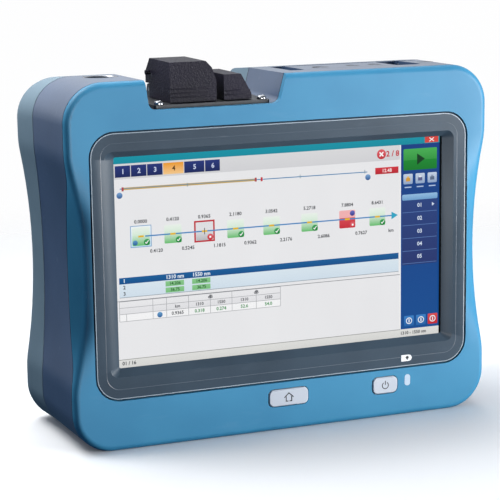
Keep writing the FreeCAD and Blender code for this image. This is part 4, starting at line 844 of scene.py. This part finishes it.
# %% The house and the power sign on the keys
HOUSE_LINE, POWER_LINE, POWER_RING = 0.42, 0.4, 1.5
HOUSE_LINES = (
    (-2.0, 0.1, 0, 1.9),
    (0, 1.9, 2.0, 0.1),
    (-1.3, 0.3, -1.3, -1.7),
    (1.3, 0.3, 1.3, -1.7),
    (-1.3, -1.7, -0.5, -1.7),
    (1.3, -1.7, 0.5, -1.7),
)
house = [stroke(*line, HOUSE_LINE) for line in HOUSE_LINES]
power_sign = arc(POWER_RING, 125, 415, POWER_LINE) + [stroke(0, 0.4, 0, 1.9, POWER_LINE)]
for body, node, mark in (("home_key", "home_button", house), ("power_key", "power_button", power_sign)):
    low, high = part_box(node)
    centre = (low + high) / 2
    origin = Vector((centre.x, low.y, centre.z))
    printed(body + "_mark", mark, origin, RIGHT, UP, FRONT, "dark_ink", body)
    print(body, "mark of", len(mark), "strokes")

# %% [markdown]
# The frame carries one sign: a white tag in the shape of a battery over the status light,
# with a plug printed on it in dark ink. The plug's ink lies on the tag's, so it starts a
# little further out. Two thin meshes give the two inks their sharp edges.

# %% The battery sign
frame_low, frame_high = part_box("screen_frame")
TAG_PLACE = Vector((0.0570, frame_low.y, 0.0261))
TAG = [(-2.6, -1.45), (1.2, -1.45), (2.1, -1.1), (2.6, 0), (2.1, 1.1), (1.2, 1.45), (-2.6, 1.45)]
PLUG_RADIUS, PLUG_X, PLUG_Z, PLUG_OUT = 0.75, 0.3, 0.2, 0.05
PLUG_LEAD = [(0.1, -0.9), (0.5, -0.9), (0.5, 0.0), (0.1, 0.0)]
plug_turn = [math.radians(30 * step) for step in range(12)]
plug = [(PLUG_X + PLUG_RADIUS * math.cos(a), PLUG_Z + PLUG_RADIUS * math.sin(a)) for a in plug_turn]
plug_place = TAG_PLACE + FRONT * PLUG_OUT * MM
printed("battery_tag", [TAG], TAG_PLACE, RIGHT, UP, FRONT, "white_ink", "case")
printed("battery_tag_plug", [plug, PLUG_LEAD], plug_place, RIGHT, UP, FRONT, "dark_ink", "case")
print("tag of", round(TAG[3][0] - TAG[0][0], 1), "mm")

# %% [markdown]
# Two fine lines run round the frame. One is a low raised ridge a few millimetres inside
# its edge, where the mould's insert ends. The other is a painted highlight: a narrow pale
# band close to the edge, where the sharp corner of the moulding catches the light. A band
# of its own shows it at any distance, which a bevel of that width wouldn't.

# %% The ridge and the painted highlight round the frame
INSET, LINE_WIDE, LINE_HIGH = 4.5, 0.28, 0.05
EDGE_FROM, EDGE_TO, EDGE_LIFT, FRAME_CORNER = 0.5, 0.85, 0.03, 10.5
frame_sides = [side / MM for side in (frame_low.x, frame_high.x, frame_low.z, frame_high.z)]


def round_the_frame(drawn, inset, lift, steps):
    left, right, low, high = frame_sides
    outline = rounded(left + inset, right - inset, low + inset, high - inset, FRAME_CORNER - inset, steps)
    return upright_points(drawn, outline, frame_low.y - lift * MM)


moulded("frame_line", "#56626E", "#4B5763", 0.35, 0.0005, 0.1)
ridge = bmesh.new()
foot_out = round_the_frame(ridge, INSET, 0, 8)
crest = round_the_frame(ridge, INSET + LINE_WIDE / 2, LINE_HIGH, 8)
foot_in = round_the_frame(ridge, INSET + LINE_WIDE, 0, 8)
wall(ridge, foot_out, crest)
wall(ridge, crest, foot_in)
finish_piece("frame_line", ridge, "frame_line", "case", smooth=False)

# The pale band is a painted highlight along the frame's edge, not a colour of the frame.
moulded("frame_edge", "#A9B6C0", "#97A4AE", 0.3, 0.0005, 0.1)
band = bmesh.new()
wall(band, *(round_the_frame(band, inset, EDGE_LIFT, 12) for inset in (EDGE_FROM, EDGE_TO)))
finish_piece("frame_edge", band, "frame_edge", "case", smooth=False)
print("frame's sides in mm", [round(side, 1) for side in frame_sides])

# %% [markdown]
# Signs on the doors show which socket is below: linked boxes for the network, a plain
# plug outline for each of the next two, and a line over dashes for direct current. The
# deck slopes gently backwards, so the ink is laid along that slope. Level signs would be
# simpler, but one edge of them would sink into the doors.

# %% The signs on the doors
DECK_TOP, DECK_DROP, DECK_DEPTH = 0.155, 0.8, 43
DECK_SLOPE = DECK_DROP / DECK_DEPTH
ALONG = Vector((0, 1, -DECK_SLOPE)).normalized()
ABOVE = Vector((0, DECK_SLOPE, 1)).normalized()
SIGN_ROW, SIGN_LINE, DIRECT_LINE, DASH = -8.0, 0.7, 0.8, 1.3


def box_outline(left, right, low, high, width):
    corners = [(left, low), (right, low), (right, high), (left, high)]
    return [stroke(*a, *b, width) for a, b in zip(corners, corners[1:] + corners[:1])]


def on_deck(x, y):
    return Vector((x * MM, y * MM, DECK_TOP - DECK_SLOPE * (y * MM - cover_front)))


network = [
    line
    for box in ((-1.3, 1.3, 1.2, 3.0), (-3.3, -1.2, -2.9, -1.2), (1.2, 3.3, -2.9, -1.2))
    for line in box_outline(*box, SIGN_LINE)
]
for link in ((0, 1.2, 0, 0.1), (-2.3, 0.1, 2.3, 0.1), (-2.3, 0.1, -2.3, -1.2), (2.3, 0.1, 2.3, -1.2)):
    network.append(stroke(*link, SIGN_LINE))
jack = box_outline(-2.0, 2.0, -2.8, 0.6, SIGN_LINE) + box_outline(-1.2, 1.2, 0.6, 2.5, SIGN_LINE)
direct = [stroke(-2.9, 0.9, 2.9, 0.9, DIRECT_LINE)]
direct += [stroke(x, -0.9, x + DASH, -0.9, DIRECT_LINE) for x in (-2.9, -0.65, 1.6)]
for name, sign, x, body in (
    ("network_sign", network, 26.5, "left_door"),
    ("plug_sign_left", jack, 42.5, "left_door"),
    ("plug_sign_right", jack, 53.0, "left_door"),
    ("power_sign", direct, 78.6, "right_door"),
):
    printed(name, sign, on_deck(x, SIGN_ROW), RIGHT, ALONG, ABOVE, "dark_ink", body)
    print(name, "of", len(sign), "strokes")

# %% [markdown]
# Many small parts are turned on a lathe or moulded as softened blocks. `turned` spins a
# profile round an upright axis, and can press a ring into a hexagon for a key's socket.
# `slab` adds a block and bevels all its edges. Blender's own cylinder and cube would
# leave hard edges that catch no light.


# %% Turned parts and softened blocks
def turned(drawn, x, y, profile, steps=36, hexed=()):
    rings = []
    for number, (radius, height) in enumerate(profile):
        points = []
        for step in range(steps if radius else 1):
            angle = 2 * math.pi * step / steps
            reach = radius
            if number in hexed:
                reach *= math.cos(math.pi / 6) / math.cos(angle % (math.pi / 3) - math.pi / 6)
            spot = (x + reach * math.cos(angle), y + reach * math.sin(angle), height)
            points.append(drawn.verts.new(Vector(spot) * MM))
        rings.append(points)
    for low, high in zip(rings, rings[1:]):
        for step in range(steps):
            after = (step + 1) % steps
            lower = (low[step % len(low)], low[after % len(low)])
            upper = (high[after % len(high)], high[step % len(high)])
            drawn.faces.new(list(dict.fromkeys(lower + upper)))
    return drawn


def slab(drawn, low, high, soften=0.08):
    made = bmesh.ops.create_cube(drawn, size=1.0)["verts"]
    bmesh.ops.scale(drawn, vec=(Vector(high) - Vector(low)) * MM, verts=made)
    bmesh.ops.translate(drawn, vec=(Vector(high) + Vector(low)) / 2 * MM, verts=made)
    edges = list({edge for corner in made for edge in corner.link_edges})
    bmesh.ops.bevel(drawn, geom=edges, offset=soften * MM, segments=2, profile=0.5, affect="EDGES")


sample = turned(bmesh.new(), 0, 0, [(0, 0), (1, 0), (1, 1), (0, 1)])
print("a turned disc has", len(sample.faces), "faces")
sample.free()

# %% [markdown]
# Two bright screws hold the port plate. Each has a shank, a rounded head and a socket
# for a hexagon key, and stands in for the plain solid of the same size. The socket could
# be cut out, but two rings pressed into hexagons give it without a cut.

# %% The port plate's screws
HEAD_HIGH = 1.6
# the dome as shares of the head's radius and heights over its seat, the socket in mm
HEAD_DOME = ((0.97, 0), (1, 0.15), (1, 0.6), (0.93, 1.05), (0.74, 1.42), (0.55, 1.58))
KEY_SOCKET = ((1.02, HEAD_HIGH), (0.95, 1.5), (0.95, 0.6), (0, 0.5))
for name in ("port_screw_1", "port_screw_2"):
    low, high, x, y = box_in_mm(name)
    radius, seat = (high.x - low.x) / 2, high.z - HEAD_HIGH
    profile = [(0, low.z), (radius / 2, low.z), (radius / 2, seat)]
    profile += [(radius * share, seat + rise) for share, rise in HEAD_DOME]
    first_hexed = len(profile) + 1
    profile += [(reach, seat + rise) for reach, rise in KEY_SOCKET]
    made = turned(bmesh.new(), x, y, profile, 48, hexed=(first_hexed, first_hexed + 1))
    screw = finish_piece(name + "_dressed", made, "port_metal", "case")
    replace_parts(screw, name)
    print(name, "head across", round(2 * radius, 2), "mm")

# %% [markdown]
# The dust caps are moulded in soft rubber. Low ribs run across their fronts, for grip.
# The big cap has three and the small one two, at the same heights. They are softened
# blocks sunk into the caps, since changing the caps' own meshes isn't allowed here.

# %% The ribs on the dust caps
RIB_FOOT, RIB_PITCH, RIB_HALF, RIB_PROUD, RIB_SUNK, RIB_INSET = 146.6, 1.7, 0.3, 0.22, 0.1, 0.6
for body, node, count, left_inset in (
    ("big_cap", "dust_cap_big", 3, 2.6),
    ("small_cap", "dust_cap_small", 2, 0.6),
):
    low, high, _, _ = box_in_mm(node)
    ribs = bmesh.new()
    for number in range(count):
        height = RIB_FOOT + number * RIB_PITCH
        near = (low.x + left_inset, low.y - RIB_PROUD, height - RIB_HALF)
        slab(ribs, near, (high.x - RIB_INSET, low.y + RIB_SUNK, height + RIB_HALF), soften=0.12)
    finish_piece(body + "_ribs", ribs, "cap_rubber", body)
    print(body, "ribs", count)

# %% [markdown]
# The meter's port is a threaded barrel with a bright lip. The thread is drawn as fine
# rings, which look the same at this size as a helix would.

# %% The thread and the lip of the meter's port
_, port_high, port_x, port_y = box_in_mm("meter_port")
THREAD_ROOT, THREAD_CREST, THREAD_PITCH, THREAD_FROM, TURNS = 5.82, 6.12, 0.8, 4.4, 5
thread = []
for number in range(TURNS):
    foot = port_high.z - THREAD_FROM + number * THREAD_PITCH
    thread += [(THREAD_ROOT, foot), (THREAD_CREST, foot + THREAD_PITCH / 2)]
    thread.append((THREAD_ROOT, foot + THREAD_PITCH))
lip = [(THREAD_ROOT, -0.3), (5.7, 0.05), (4.95, 0.05), (4.62, -0.25), (4.62, -3.5)]
profile = thread + [(radius, port_high.z + rise) for radius, rise in lip]
finish_piece("meter_thread", turned(bmesh.new(), port_x, port_y, profile, 48), "port_metal", "case")
print("meter port at", round(port_x, 1), round(port_y, 1))

# %% [markdown]
# Down in the barrel a dark window covers the detector. It is coated, so it shows a deep
# violet and a sharp gloss. The window is a shallow dome, which catches one small light,
# where a flat disc would show all of a light or nothing.

# %% The meter's window
LENS_FILM = {"Specular IOR Level": 0.9, "Coat Weight": 1.0, "Coat Roughness": 0.03}
dark_lens = Finish("dark_lens_finish", LENS_FILM)
FILM_SIZE, LENS_GLOSS, FILM_GLOSS = 0.004, 0.08, 0.05
film = dark_lens.noise(FILM_SIZE)
dark_lens.feed("Base Color", dark_lens.mix(film, colour("#0C0A16"), colour("#1B1030")))
dark_lens.feed("Roughness", LENS_GLOSS + film * FILM_GLOSS)
FINISHES["dark_lens"] = dark_lens
DOME = ((4.6, -3.6), (4.5, -3.45), (2.5, -3.2), (0, -3.1))
profile = [(radius, port_high.z + rise) for radius, rise in DOME]
finish_piece("meter_window", turned(bmesh.new(), port_x, port_y, profile, 36), "dark_lens", "case")
print("window across", 2 * DOME[0][0], "mm")

# %% [markdown]
# Round the port lies a well in the deck, which ends in a thin steel ring. The ring is
# turned too: an outer slope, a crest, an inner slope and a short wall down the well. It
# is a piece of its own, because it is metal and the deck is plastic.

# %% The ring round the meter's port
WELL_RING = [(7.45, 154.2), (7.2, 154.34), (6.9, 154.2), (6.85, 153.2)]
finish_piece("meter_well_ring", turned(bmesh.new(), port_x, port_y, WELL_RING, 48), "steel", "case")
print("ring across", round(2 * WELL_RING[0][0], 1), "mm")

# %% [markdown]
# A fibre port holds a split sleeve of white ceramic that lines the two ferrules up. At
# this size the slit can't be seen, so a sleeve is a turned tube with softened rims.

# %% The ferrule sleeves
PORE_SIZE, CERAMIC_GLOSS, PORE_GLOSS = 0.0006, 0.22, 0.1
ceramic = Finish("ceramic_finish", {"Specular IOR Level": 0.6})
pores = ceramic.noise(PORE_SIZE)
ceramic.feed("Base Color", ceramic.mix(pores, colour("#E9E7E0"), colour("#F6F5F0")))
ceramic.feed("Roughness", CERAMIC_GLOSS + pores * PORE_GLOSS)
FINISHES["ceramic"] = ceramic
SLEEVE_DOWN, SOFT_RIM = 1.2, 0.1
for name, node, outer, inner, foot in (
    ("link_sleeve", "fibre_port", 1.6, 1.25, 5.9),
    ("source_sleeve", "source_port", 1.24, 0.7, 4.0),
):
    low, high, x, y = box_in_mm(node)
    rim = high.z - SLEEVE_DOWN
    tube = [(outer, high.z - foot), (outer, rim - SOFT_RIM), (outer - SOFT_RIM, rim)]
    tube += [(inner + SOFT_RIM, rim), (inner, rim - SOFT_RIM), (inner, high.z - foot)]
    finish_piece(name, turned(bmesh.new(), x, y, tube, 32), "ceramic", "case")
    print(name, "bore", 2 * inner, "mm")

# %% [markdown]
# The square adapter has two rails on each side, which guide the connector, and a low bar
# for the latch at the front and back. All of them are moulded with the green body. Here
# they are blocks of their own, because they are too fine for the solid.

# %% The adapter's rails and latch bars
RAIL_INSET, RAIL_THICK, RAIL_BACK, RAIL_NEAR, RAIL_FAR = 1.15, 0.5, 0.02, 3.2, 4.6
RAIL_FOOT, RAIL_TOP = 5.8, 0.4
BAR_INSET, BAR_PROUD, BAR_THICK, BAR_FOOT_DOWN, BAR_TOP_DOWN = 2.2, 0.12, 0.2, 2.6, 1.6
low, high, middle_x, _ = box_in_mm("fibre_port")
rails = bmesh.new()
for side in (low.x + RAIL_INSET, high.x - RAIL_INSET):
    inward = RAIL_THICK if side < middle_x else -RAIL_THICK
    near, far = sorted((side - RAIL_BACK, side + inward))
    for start, end in ((low.y + RAIL_NEAR, low.y + RAIL_FAR), (high.y - RAIL_FAR, high.y - RAIL_NEAR)):
        slab(rails, (near, start, high.z - RAIL_FOOT), (far, end, high.z - RAIL_TOP))
for y in (low.y - BAR_PROUD, high.y + BAR_PROUD - BAR_THICK):
    near = (low.x + BAR_INSET, y, high.z - BAR_FOOT_DOWN)
    slab(rails, near, (high.x - BAR_INSET, y + BAR_THICK, high.z - BAR_TOP_DOWN))
finish_piece("link_port_rails", rails, "port_green", "case")
print("adapter", round(high.x - low.x, 1), "by", round(high.y - low.y, 1), "mm")

# %% [markdown]
# Behind the doors each socket has what its plug meets. The network socket has eight
# sprung contacts. Each is a flat strip along the socket's floor and an upright one that
# the plug slides on, and both are plated in gold. A contact could be one bent strip, but
# two blocks look the same from above.

# %% The network socket's contacts
metal("gold", "#F0C868", "#C99A3C", 0.25, 0.0006, (0.2, 1, 1))
CONTACTS, CONTACT_PITCH, CONTACT_HALF, CONTACT_THICK = 8, 1.02, 0.2, 0.4
CONTACT_START, CONTACT_BACK, CONTACT_FLOOR, CONTACT_TIP = 1.6, 3.7, 9.2, 1.6
low, high, middle_x, middle_y = box_in_mm("network_socket")
contacts = bmesh.new()
for number in range(CONTACTS):
    x = middle_x + (number - (CONTACTS - 1) / 2) * CONTACT_PITCH
    left, right, back = x - CONTACT_HALF, x + CONTACT_HALF, middle_y + CONTACT_BACK
    floor_z = high.z - CONTACT_FLOOR
    slab(contacts, (left, middle_y + CONTACT_START, floor_z), (right, back, floor_z + CONTACT_THICK))
    slab(contacts, (left, back - CONTACT_THICK, floor_z), (right, back, high.z - CONTACT_TIP))
finish_piece("network_contacts", contacts, "gold", "case")
print("contacts in the network socket", CONTACTS)

# %% [markdown]
# The two sockets beside it hold a black tongue with four gold strips. The power socket
# has a round pin in the middle of a thin sleeve. Blocks and turned profiles are enough,
# since little more than their tips shows in the mouths.

# %% The tongues and the power pin
TONGUE_BACK, TONGUE_FACE, TONGUE_HALF, TONGUE_FOOT, TONGUE_TIP = 1.9, 0.4, 5.6, 9.8, 1.2
STRIPS, STRIP_PITCH, STRIP_HALF, STRIP_FOOT, STRIP_TIP = 4, 2.5, 0.5, 8.5, 2.0
STRIP_OUT, STRIP_IN = 0.45, 0.3
tongues, strips = bmesh.new(), bmesh.new()
for node in ("usb_socket_left", "usb_socket_right"):
    low, high, x, y = box_in_mm(node)
    near = (x - TONGUE_BACK, y - TONGUE_HALF, high.z - TONGUE_FOOT)
    slab(tongues, near, (x - TONGUE_FACE, y + TONGUE_HALF, high.z - TONGUE_TIP), soften=0.15)
    for number in range(STRIPS):
        side = y + (number - (STRIPS - 1) / 2) * STRIP_PITCH
        near = (x - STRIP_OUT, side - STRIP_HALF, high.z - STRIP_FOOT)
        slab(strips, near, (x - STRIP_IN, side + STRIP_HALF, high.z - STRIP_TIP), soften=0.04)
finish_piece("plug_tongues", tongues, "socket_black", "case")
finish_piece("tongue_contacts", strips, "gold", "case")
PIN = ((1.0, -7.9), (1.0, -2.0), (0.8, -1.5), (0.3, -1.3), (0, -1.3))
SLEEVE = ((3.12, -7.5), (3.12, -1.8), (2.95, -1.7), (2.95, -7.5))
low, high, x, y = box_in_mm("power_socket")
pin = turned(bmesh.new(), x, y, [(radius, high.z + rise) for radius, rise in PIN], 24)
turned(pin, x, y, [(radius, high.z + rise) for radius, rise in SLEEVE], 32)
finish_piece("power_pin", pin, "socket_metal", "case")
print("strips on the tongues", 2 * STRIPS)

# %% [markdown]
# Around each mouth a folded steel shield shows as a thin bright frame. It is four
# outlines joined by bands: up its outer side, across its rim and down into the mouth. A
# boolean cut could make the frame as well, but the bands give clean faces at once.

# %% The shields round the mouths
SHIELD_THICK, SHIELD_HIGH = 0.4, 0.14
shields = bmesh.new()
for node, wide, long in (
    ("network_socket", 13.0, 10.4),
    ("usb_socket_left", 6.0, 13.2),
    ("usb_socket_right", 6.0, 13.2),
):
    low, high, x, y = box_in_mm(node)
    outer = rounded(x - wide / 2, x + wide / 2, y - long / 2, y + long / 2, 0.5, 3)
    mouth_x, mouth_y = wide / 2 - SHIELD_THICK, long / 2 - SHIELD_THICK
    inner = rounded(x - mouth_x, x + mouth_x, y - mouth_y, y + mouth_y, 0.3, 3)
    rims = [
        [shields.verts.new((a * MM, b * MM, (high.z + rise) * MM)) for a, b in outline]
        for outline, rise in ((outer, 0.01), (outer, SHIELD_HIGH), (inner, SHIELD_HIGH), (inner, -0.3))
    ]
    for first, second in zip(rims, rims[1:]):
        wall(shields, first, second)
    print("shield of", node, wide, "by", long, "mm")
finish_piece("socket_shields", shields, "socket_metal", "case", smooth=False)

# %% [markdown]
# The tester stands on white paper under soft light. The view is set by the camera's
# place, its turn, its tilt, a slight roll and its lens, all in plain numbers. The long
# lens keeps the sides of the case nearly parallel, as product views have them.

# %% The camera
TURN, TILT, ROLL_OVER = (math.radians(angle) for angle in (21.18, 10.98, -0.84))
STAND_POINT = Vector((-0.2797, -0.7122, 0.2223))
scene = bpy.context.scene
scene.view_settings.view_transform = "Standard"
forward = Vector((math.sin(TURN) * math.cos(TILT), math.cos(TURN) * math.cos(TILT), -math.sin(TILT)))
level = Vector((math.cos(TURN), -math.sin(TURN), 0))
upright = level.cross(forward)
right = level * math.cos(ROLL_OVER) + upright * math.sin(ROLL_OVER)
top = upright * math.cos(ROLL_OVER) - level * math.sin(ROLL_OVER)
camera = bpy.data.objects.new("camera", bpy.data.cameras.new("camera"))
scene.collection.objects.link(camera)
facing = Matrix((right, top, -forward)).transposed().to_4x4()
camera.matrix_world = Matrix.Translation(STAND_POINT) @ facing
camera.data.lens = 126.1
camera.data.sensor_width = 36
camera.data.clip_start = 0.01
scene.camera = camera
print("camera distance in mm", round((STAND_POINT - Vector((0, 0, 0.077))).length / MM))

# %% [markdown]
# Satin paint shows the room that it stands in, so the room matters as much as the lamps.
# The sky is brightest behind the tester, from just over the horizon upwards. Overhead it
# is less than half as bright, and low down at the sides and in front it is dim. So what
# faces up and back turns pale, and the face stays deep. Two soft steps make it, one over
# a slanted height and one from front to back. A ready-made sky would light all sides.

# %% The sky of the room
SKY_LEAN, BRIGHT_BAND, BEHIND_BAND, AHEAD_LEAST = 0.4, (0.15, 0.55), (-0.2, 0.6), 0.3
DIM_SKY, BRIGHT_SKY, SKY_STRENGTH = (0.035, 0.07, 0.12, 1), (0.95, 0.98, 1.0, 1), 0.9
world = bpy.data.worlds.new("studio")
scene.world = world
world.use_nodes = True
room = Graph(world.node_tree, "Background")
_, north, up = room.axes("Generated")
bright = room.step(north * SKY_LEAN + up, *BRIGHT_BAND)
behind = room.step(north, *BEHIND_BAND, AHEAD_LEAST)
room.feed("Color", room.mix(bright * behind, DIM_SKY, BRIGHT_SKY))
room.shader.inputs["Strength"].default_value = SKY_STRENGTH
print("sky runs from", DIM_SKY[:3], "to", BRIGHT_SKY[:3])

# %% [markdown]
# Four softboxes give the shape. The key light stands far out on the right in front, a
# weak one hangs above and behind, and a small one above the left end lights the corner
# there. The last is a card in front. It is there for the sheen along the cover's left
# edge, so it is hidden from the matt part of every finish. One bare lamp would be enough
# to see by, but its shadows would be hard and its sheen a dot.


# %% The lamps
def softbox(name, place, aim, width, height, power):
    lamp = bpy.data.lights.new(name, "AREA")
    lamp.shape = "RECTANGLE"
    lamp.size = width
    lamp.size_y = height
    lamp.energy = power
    holder = bpy.data.objects.new(name, lamp)
    scene.collection.objects.link(holder)
    holder.location = place
    holder.rotation_euler = (Vector(aim) - Vector(place)).to_track_quat("-Z", "Y").to_euler()
    return holder


for lamp_row in (
    # name, place, where it points, width, height, watts
    ("key_light", (0.80, -0.74, 0.12), (0.0, 0, 0.05), 0.4, 0.4, 20),
    ("top_light", (0.0, 0.35, 0.7), (0, 0, 0.1), 0.6, 0.5, 2.5),
    ("corner_light", (-0.24, 0.06, 0.40), (-0.1, 0, 0.13), 0.15, 0.2, 1.2),
    ("edge_card", (-0.20, -1.0, 0.09), (-0.09, 0, 0.08), 0.22, 0.22, 7),
):
    made = softbox(*lamp_row)
    print(made.name, "of", round(made.data.energy, 1), "watts")
bpy.data.objects["edge_card"].visible_diffuse = False

# %% [markdown]
# The paper is white where the light falls and would turn grey in the distance, so it is a
# disc that fades out. It takes the tester's shadow and is hidden from its gloss and its
# matt light, so that the paint isn't paled from below. One big bent sheet could be floor
# and backdrop, but its far side would never come out evenly white.

# %% The paper
FADE_FROM, FADE_TO = 0.22, 0.62


def stage_piece(name, drawn, finish):
    mesh = bpy.data.meshes.new(name)
    drawn.to_mesh(mesh)
    drawn.free()
    mesh.materials.append(finish.material)
    piece = bpy.data.objects.new(name, mesh)
    scene.collection.objects.link(piece)
    piece.visible_diffuse = False
    piece.visible_glossy = False
    piece.visible_transmission = False
    return piece


paper = Finish("pale_paper", {"Roughness": 0.9, "Specular IOR Level": 0.1})
paper.feed("Base Color", paper.mix(paper.noise(0.2, 2.0), colour("#F4F5F7"), colour("#F8F9FB")))
east, north, _ = paper.axes()
squared = east * east + north * north
paper.feed("Alpha", 1 - paper.step(squared.maths("SQRT", squared), FADE_FROM, FADE_TO))
sheet = bmesh.new()
bmesh.ops.create_circle(sheet, cap_ends=True, segments=96, radius=1.6)
floor = stage_piece("floor", sheet, paper)
floor.location.z = solid_box[0][2]
print("paper fades from", FADE_FROM, "to", FADE_TO, "m")

# %% [markdown]
# Behind the fading paper stands a plain white backdrop: a ball round the whole scene that
# gives its own even light. Only the camera sees it, so it lights nothing and casts no
# shadow. A white sky would be simpler, but the paint would mirror it.

# %% The backdrop
PLAIN_LIGHT = {"Base Color": (0, 0, 0, 1), "Emission Strength": 1.0, "Specular IOR Level": 0.0}
white = Finish("white_backdrop", PLAIN_LIGHT)
white.feed("Emission Color", white.mix(white.noise(1.5, 1.0), colour("#FDFDFE"), colour("#FFFFFF")))
shell = bmesh.new()
bmesh.ops.create_icosphere(shell, subdivisions=4, radius=3.9)
backdrop = stage_piece("backdrop", shell, white)
backdrop.visible_shadow = False
print("backdrop of", len(backdrop.data.polygons), "faces")

# %% [markdown]
